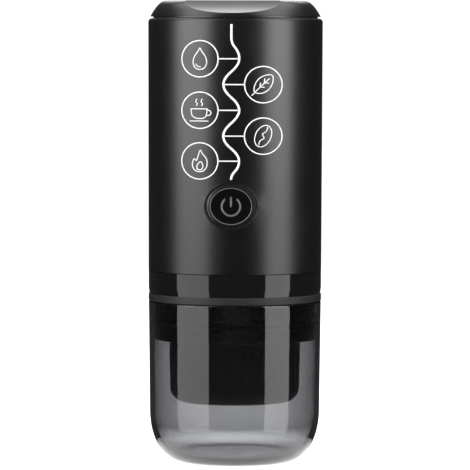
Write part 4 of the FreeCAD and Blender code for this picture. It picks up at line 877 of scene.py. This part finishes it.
@dataclass(frozen=True)
class Backdrop:
    """The pale world and floor: white where light arrives straight or through the cup.

    The strengths are what the camera sees straight on, what shows through the cup far out and
    close to its foot, what reflections get of the world, and what they get of the floor's glow.
    The floor's emission paints a pool of light: brighter close to the foot where it shows through
    the cup, and a glowing round under the foot that reflections show.
    """

    straight: float = 1.05
    through: float = 4.2
    # Painted pool of light: through the cup the floor glows brighter close to the foot.
    through_near: float = 16.0
    near_inner: float = 0.045
    near_outer: float = 0.1
    surround: float = 0.04
    # Painted glow: the floor's round under the foot glows in reflections, a painted reflection of a
    # lit floor.
    painted_glow: float = 4.0
    glow_share: float = 0.4
    glow_inner: float = 0.03
    glow_outer: float = 0.055
    glow_height: float = -0.0002
    floor_radius: float = 6.0
    floor_height: float = -0.0006
    floor_sides: int = 96
    floor_colour: str = "d8d8d8"
    floor_roughness: float = 0.9

    def falloff(self, tree: bpy.types.NodeTree, inner: float, outer: float, near: float,
                far: float) -> bpy.types.NodeSocket:
        """Makes a value that changes softly with the distance from the maker's axis.

        Args:
            tree: The node tree of the floor.
            inner: The distance where the change starts.
            outer: The distance where it is complete.
            near: The value inside.
            far: The value outside.

        Returns:
            The value's socket.
        """
        place = add_node(tree, "ShaderNodeTexCoord")
        away = add_node(tree, "ShaderNodeVectorMath", links={0: place.outputs["Object"]},
                        operation="LENGTH")
        change = add_node(tree, "ShaderNodeMapRange",
                          {"From Min": inner, "From Max": outer, "To Min": near, "To Max": far},
                          {"Value": away.outputs["Value"]}, interpolation_type="SMOOTHSTEP")
        return change.outputs["Result"]

    def paleness(self, tree: bpy.types.NodeTree, elsewhere: float | bpy.types.NodeSocket,
                 through: float | bpy.types.NodeSocket) -> bpy.types.NodeSocket:
        """Makes a strength that is high where light arrives straight or through the cup.

        Args:
            tree: The node tree of the world or the floor.
            elsewhere: The strength that reflections and bounced light get.
            through: The strength that shows through the clear cup.

        Returns:
            The strength's socket.
        """
        path = add_node(tree, "ShaderNodeLightPath")
        bounces = add_node(tree, "ShaderNodeMath",
                           links={0: path.outputs["Glossy Depth"],
                                  1: path.outputs["Diffuse Depth"]}, operation="ADD")
        unbounced = add_node(tree, "ShaderNodeMath", {1: 0.5}, {0: bounces.outputs[0]},
                             operation="LESS_THAN")
        direct = add_node(tree, "ShaderNodeMapRange", {"To Max": self.straight},
                          {"Value": path.outputs["Is Camera Ray"]})
        strength = add_node(tree, "ShaderNodeMapRange",
                            links={"Value": unbounced.outputs[0],
                                   "To Max": direct.outputs["Result"]})
        for value, node in ((through, direct), (elsewhere, strength)):
            if isinstance(value, float):
                node.inputs["To Min"].default_value = value
            else:
                tree.links.new(value, node.inputs["To Min"])
        return strength.outputs["Result"]

    def world(self) -> None:
        """Makes the surroundings white behind the maker and dim in its reflections."""
        world = bpy.data.worlds.new("studio_surround")
        bpy.context.scene.world = world
        world.cycles.sampling_method = "NONE"
        tree = cleared_tree(world)
        back = add_node(tree, "ShaderNodeBackground", {"Color": WHITE},
                        {"Strength": self.paleness(tree, self.surround, self.through)})
        add_node(tree, "ShaderNodeOutputWorld", links={"Surface": back.outputs["Background"]})

    def disc(self, name: str, radius: float, height: float, glow: float) -> bpy.types.Object:
        """Lays a round pale sheet under the maker.

        Args:
            name: The sheet's name.
            radius: Its radius.
            height: Its height, just below the foot.
            glow: How bright its painted glow in the middle is in reflections.

        Returns:
            The sheet.
        """
        bpy.ops.object.select_all(action="DESELECT")
        bpy.ops.mesh.primitive_circle_add(vertices=self.floor_sides, radius=radius,
                                          fill_type="NGON", location=(0, 0, height))
        sheet = bpy.context.object
        sheet.name = name
        bpy.ops.object.transform_apply(location=True, rotation=False, scale=False)
        material = bpy.data.materials.new(name + "_paint")
        tree = cleared_tree(material)
        path = add_node(tree, "ShaderNodeLightPath")
        # Inside the cup's wall the sheet's painted glow shows in full, and on its outer face only a
        # share.
        share = add_node(tree, "ShaderNodeMapRange", {"To Min": self.glow_share},
                         {"Value": path.outputs["Transmission Depth"]})
        painted_glow = self.falloff(tree, self.glow_inner, self.glow_outer, glow, 0.0)
        mirrored = add_node(tree, "ShaderNodeMath", links={0: painted_glow, 1: share.outputs["Result"]},
                            operation="MULTIPLY")
        # Painted pool of light: seen through the cup, the sheet glows brighter close to the foot.
        through = self.falloff(tree, self.near_inner, self.near_outer, self.through_near,
                               self.through)
        shader = add_node(tree, "ShaderNodeBsdfPrincipled",
                          {"Base Color": linear(self.floor_colour),
                           "Roughness": self.floor_roughness, "Emission Color": WHITE},
                          {"Emission Strength": self.paleness(tree, mirrored.outputs[0],
                                                              through)})
        add_node(tree, "ShaderNodeOutputMaterial", links={"Surface": shader.outputs["BSDF"]})
        material.cycles.emission_sampling = "NONE"
        sheet.data.materials.append(material)
        sheet.visible_diffuse = False
        # The cup stands on the sheet, so the sheet stays under it when the machine is lifted.
        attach(sheet, "cup")
        log.info("laid %s", name)
        return sheet

    def build(self) -> None:
        """Makes the world, a wide floor that reflections don't show, and its round of painted glow.
        """
        self.world()
        floor = self.disc("studio_floor", self.floor_radius, self.floor_height, 0.0)
        floor.visible_glossy = False
        self.disc("painted_glow_floor", self.glow_outer, self.glow_height, self.painted_glow)


@dataclass(frozen=True)
class ViewCamera:
    """The camera: its angles in degrees, its distance from the maker's axis and its scale."""

    azimuth: float = 2.65
    drop: float = 2.89
    roll: float = 0.15
    distance: float = 1.45
    aim_height: float = 0.09915
    pixels_per_metre: float = 2280.0
    clip_start: float = 0.05

    def build(self) -> None:
        """Places the camera at the viewing angle and makes it the scene's own."""
        drop = math.radians(self.drop)
        back = towards(math.radians(self.azimuth), drop)
        data = bpy.data.cameras.new("view_camera")
        camera = bpy.data.objects.new("view_camera", data)
        bpy.context.scene.collection.objects.link(camera)
        data.sensor_width = SENSOR_MM
        data.lens = self.pixels_per_metre * self.distance / IMAGE_SIDE * SENSOR_MM
        data.clip_start = self.clip_start
        aim = Vector((0, 0, self.aim_height))
        camera.location = aim + back * (self.distance / math.cos(drop))
        turn = (-back).to_track_quat("-Z", "Y").to_matrix().to_4x4()
        roll = Matrix.Rotation(math.radians(self.roll), 4, "Z")
        camera.rotation_euler = (turn @ roll).to_euler()
        bpy.context.scene.camera = camera


@dataclass(frozen=True)
class Studio:
    """The camera, the lights and the pale backdrop."""

    camera: ViewCamera = ViewCamera()
    lights: tuple[Softbox | HighPanel | FrontFill, ...] = (
        Softbox("left_softbox", LEFT_SPAN, 2.236),
        Softbox("left_bright_sheet", LEFT_SPAN, 2.9, bottom=0.13, top=0.45, distance=0.44),
        Softbox("right_softbox", RIGHT_SPAN, 2.808),
        Softbox("right_bright_sheet", RIGHT_SPAN, 2.9, bottom=0.13, top=0.45, distance=0.44),
        HighPanel("back_panel", turn=180.0, lift=44.0, radiance=4.3, size=(0.75, 0.5)),
        HighPanel("top_panel", turn=180.0, lift=68.0, radiance=4.0, size=(0.5, 0.14)),
        HighPanel("left_panel", turn=-106.0, lift=60.0, radiance=3.4, size=(0.8, 0.4)),
        HighPanel("right_panel", turn=106.0, lift=60.0, radiance=3.4, size=(0.8, 0.4)),
        FrontFill(),
    )
    backdrop: Backdrop = Backdrop()

    def build(self) -> None:
        """Sets up camera, lights, backdrop and view transform."""
        self.camera.build()
        for light in self.lights:
            light.build(self.camera.azimuth)
        self.backdrop.build()
        bpy.context.scene.view_settings.view_transform = "Standard"
        log.info("studio ready")


def main() -> None:
    """Dresses the maker, prints its marks and sets up its studio."""
    dress_groups()
    TrailPrint().build()
    PowerMark().build()
    Studio().build()


if __name__ == "__main__":
    main()
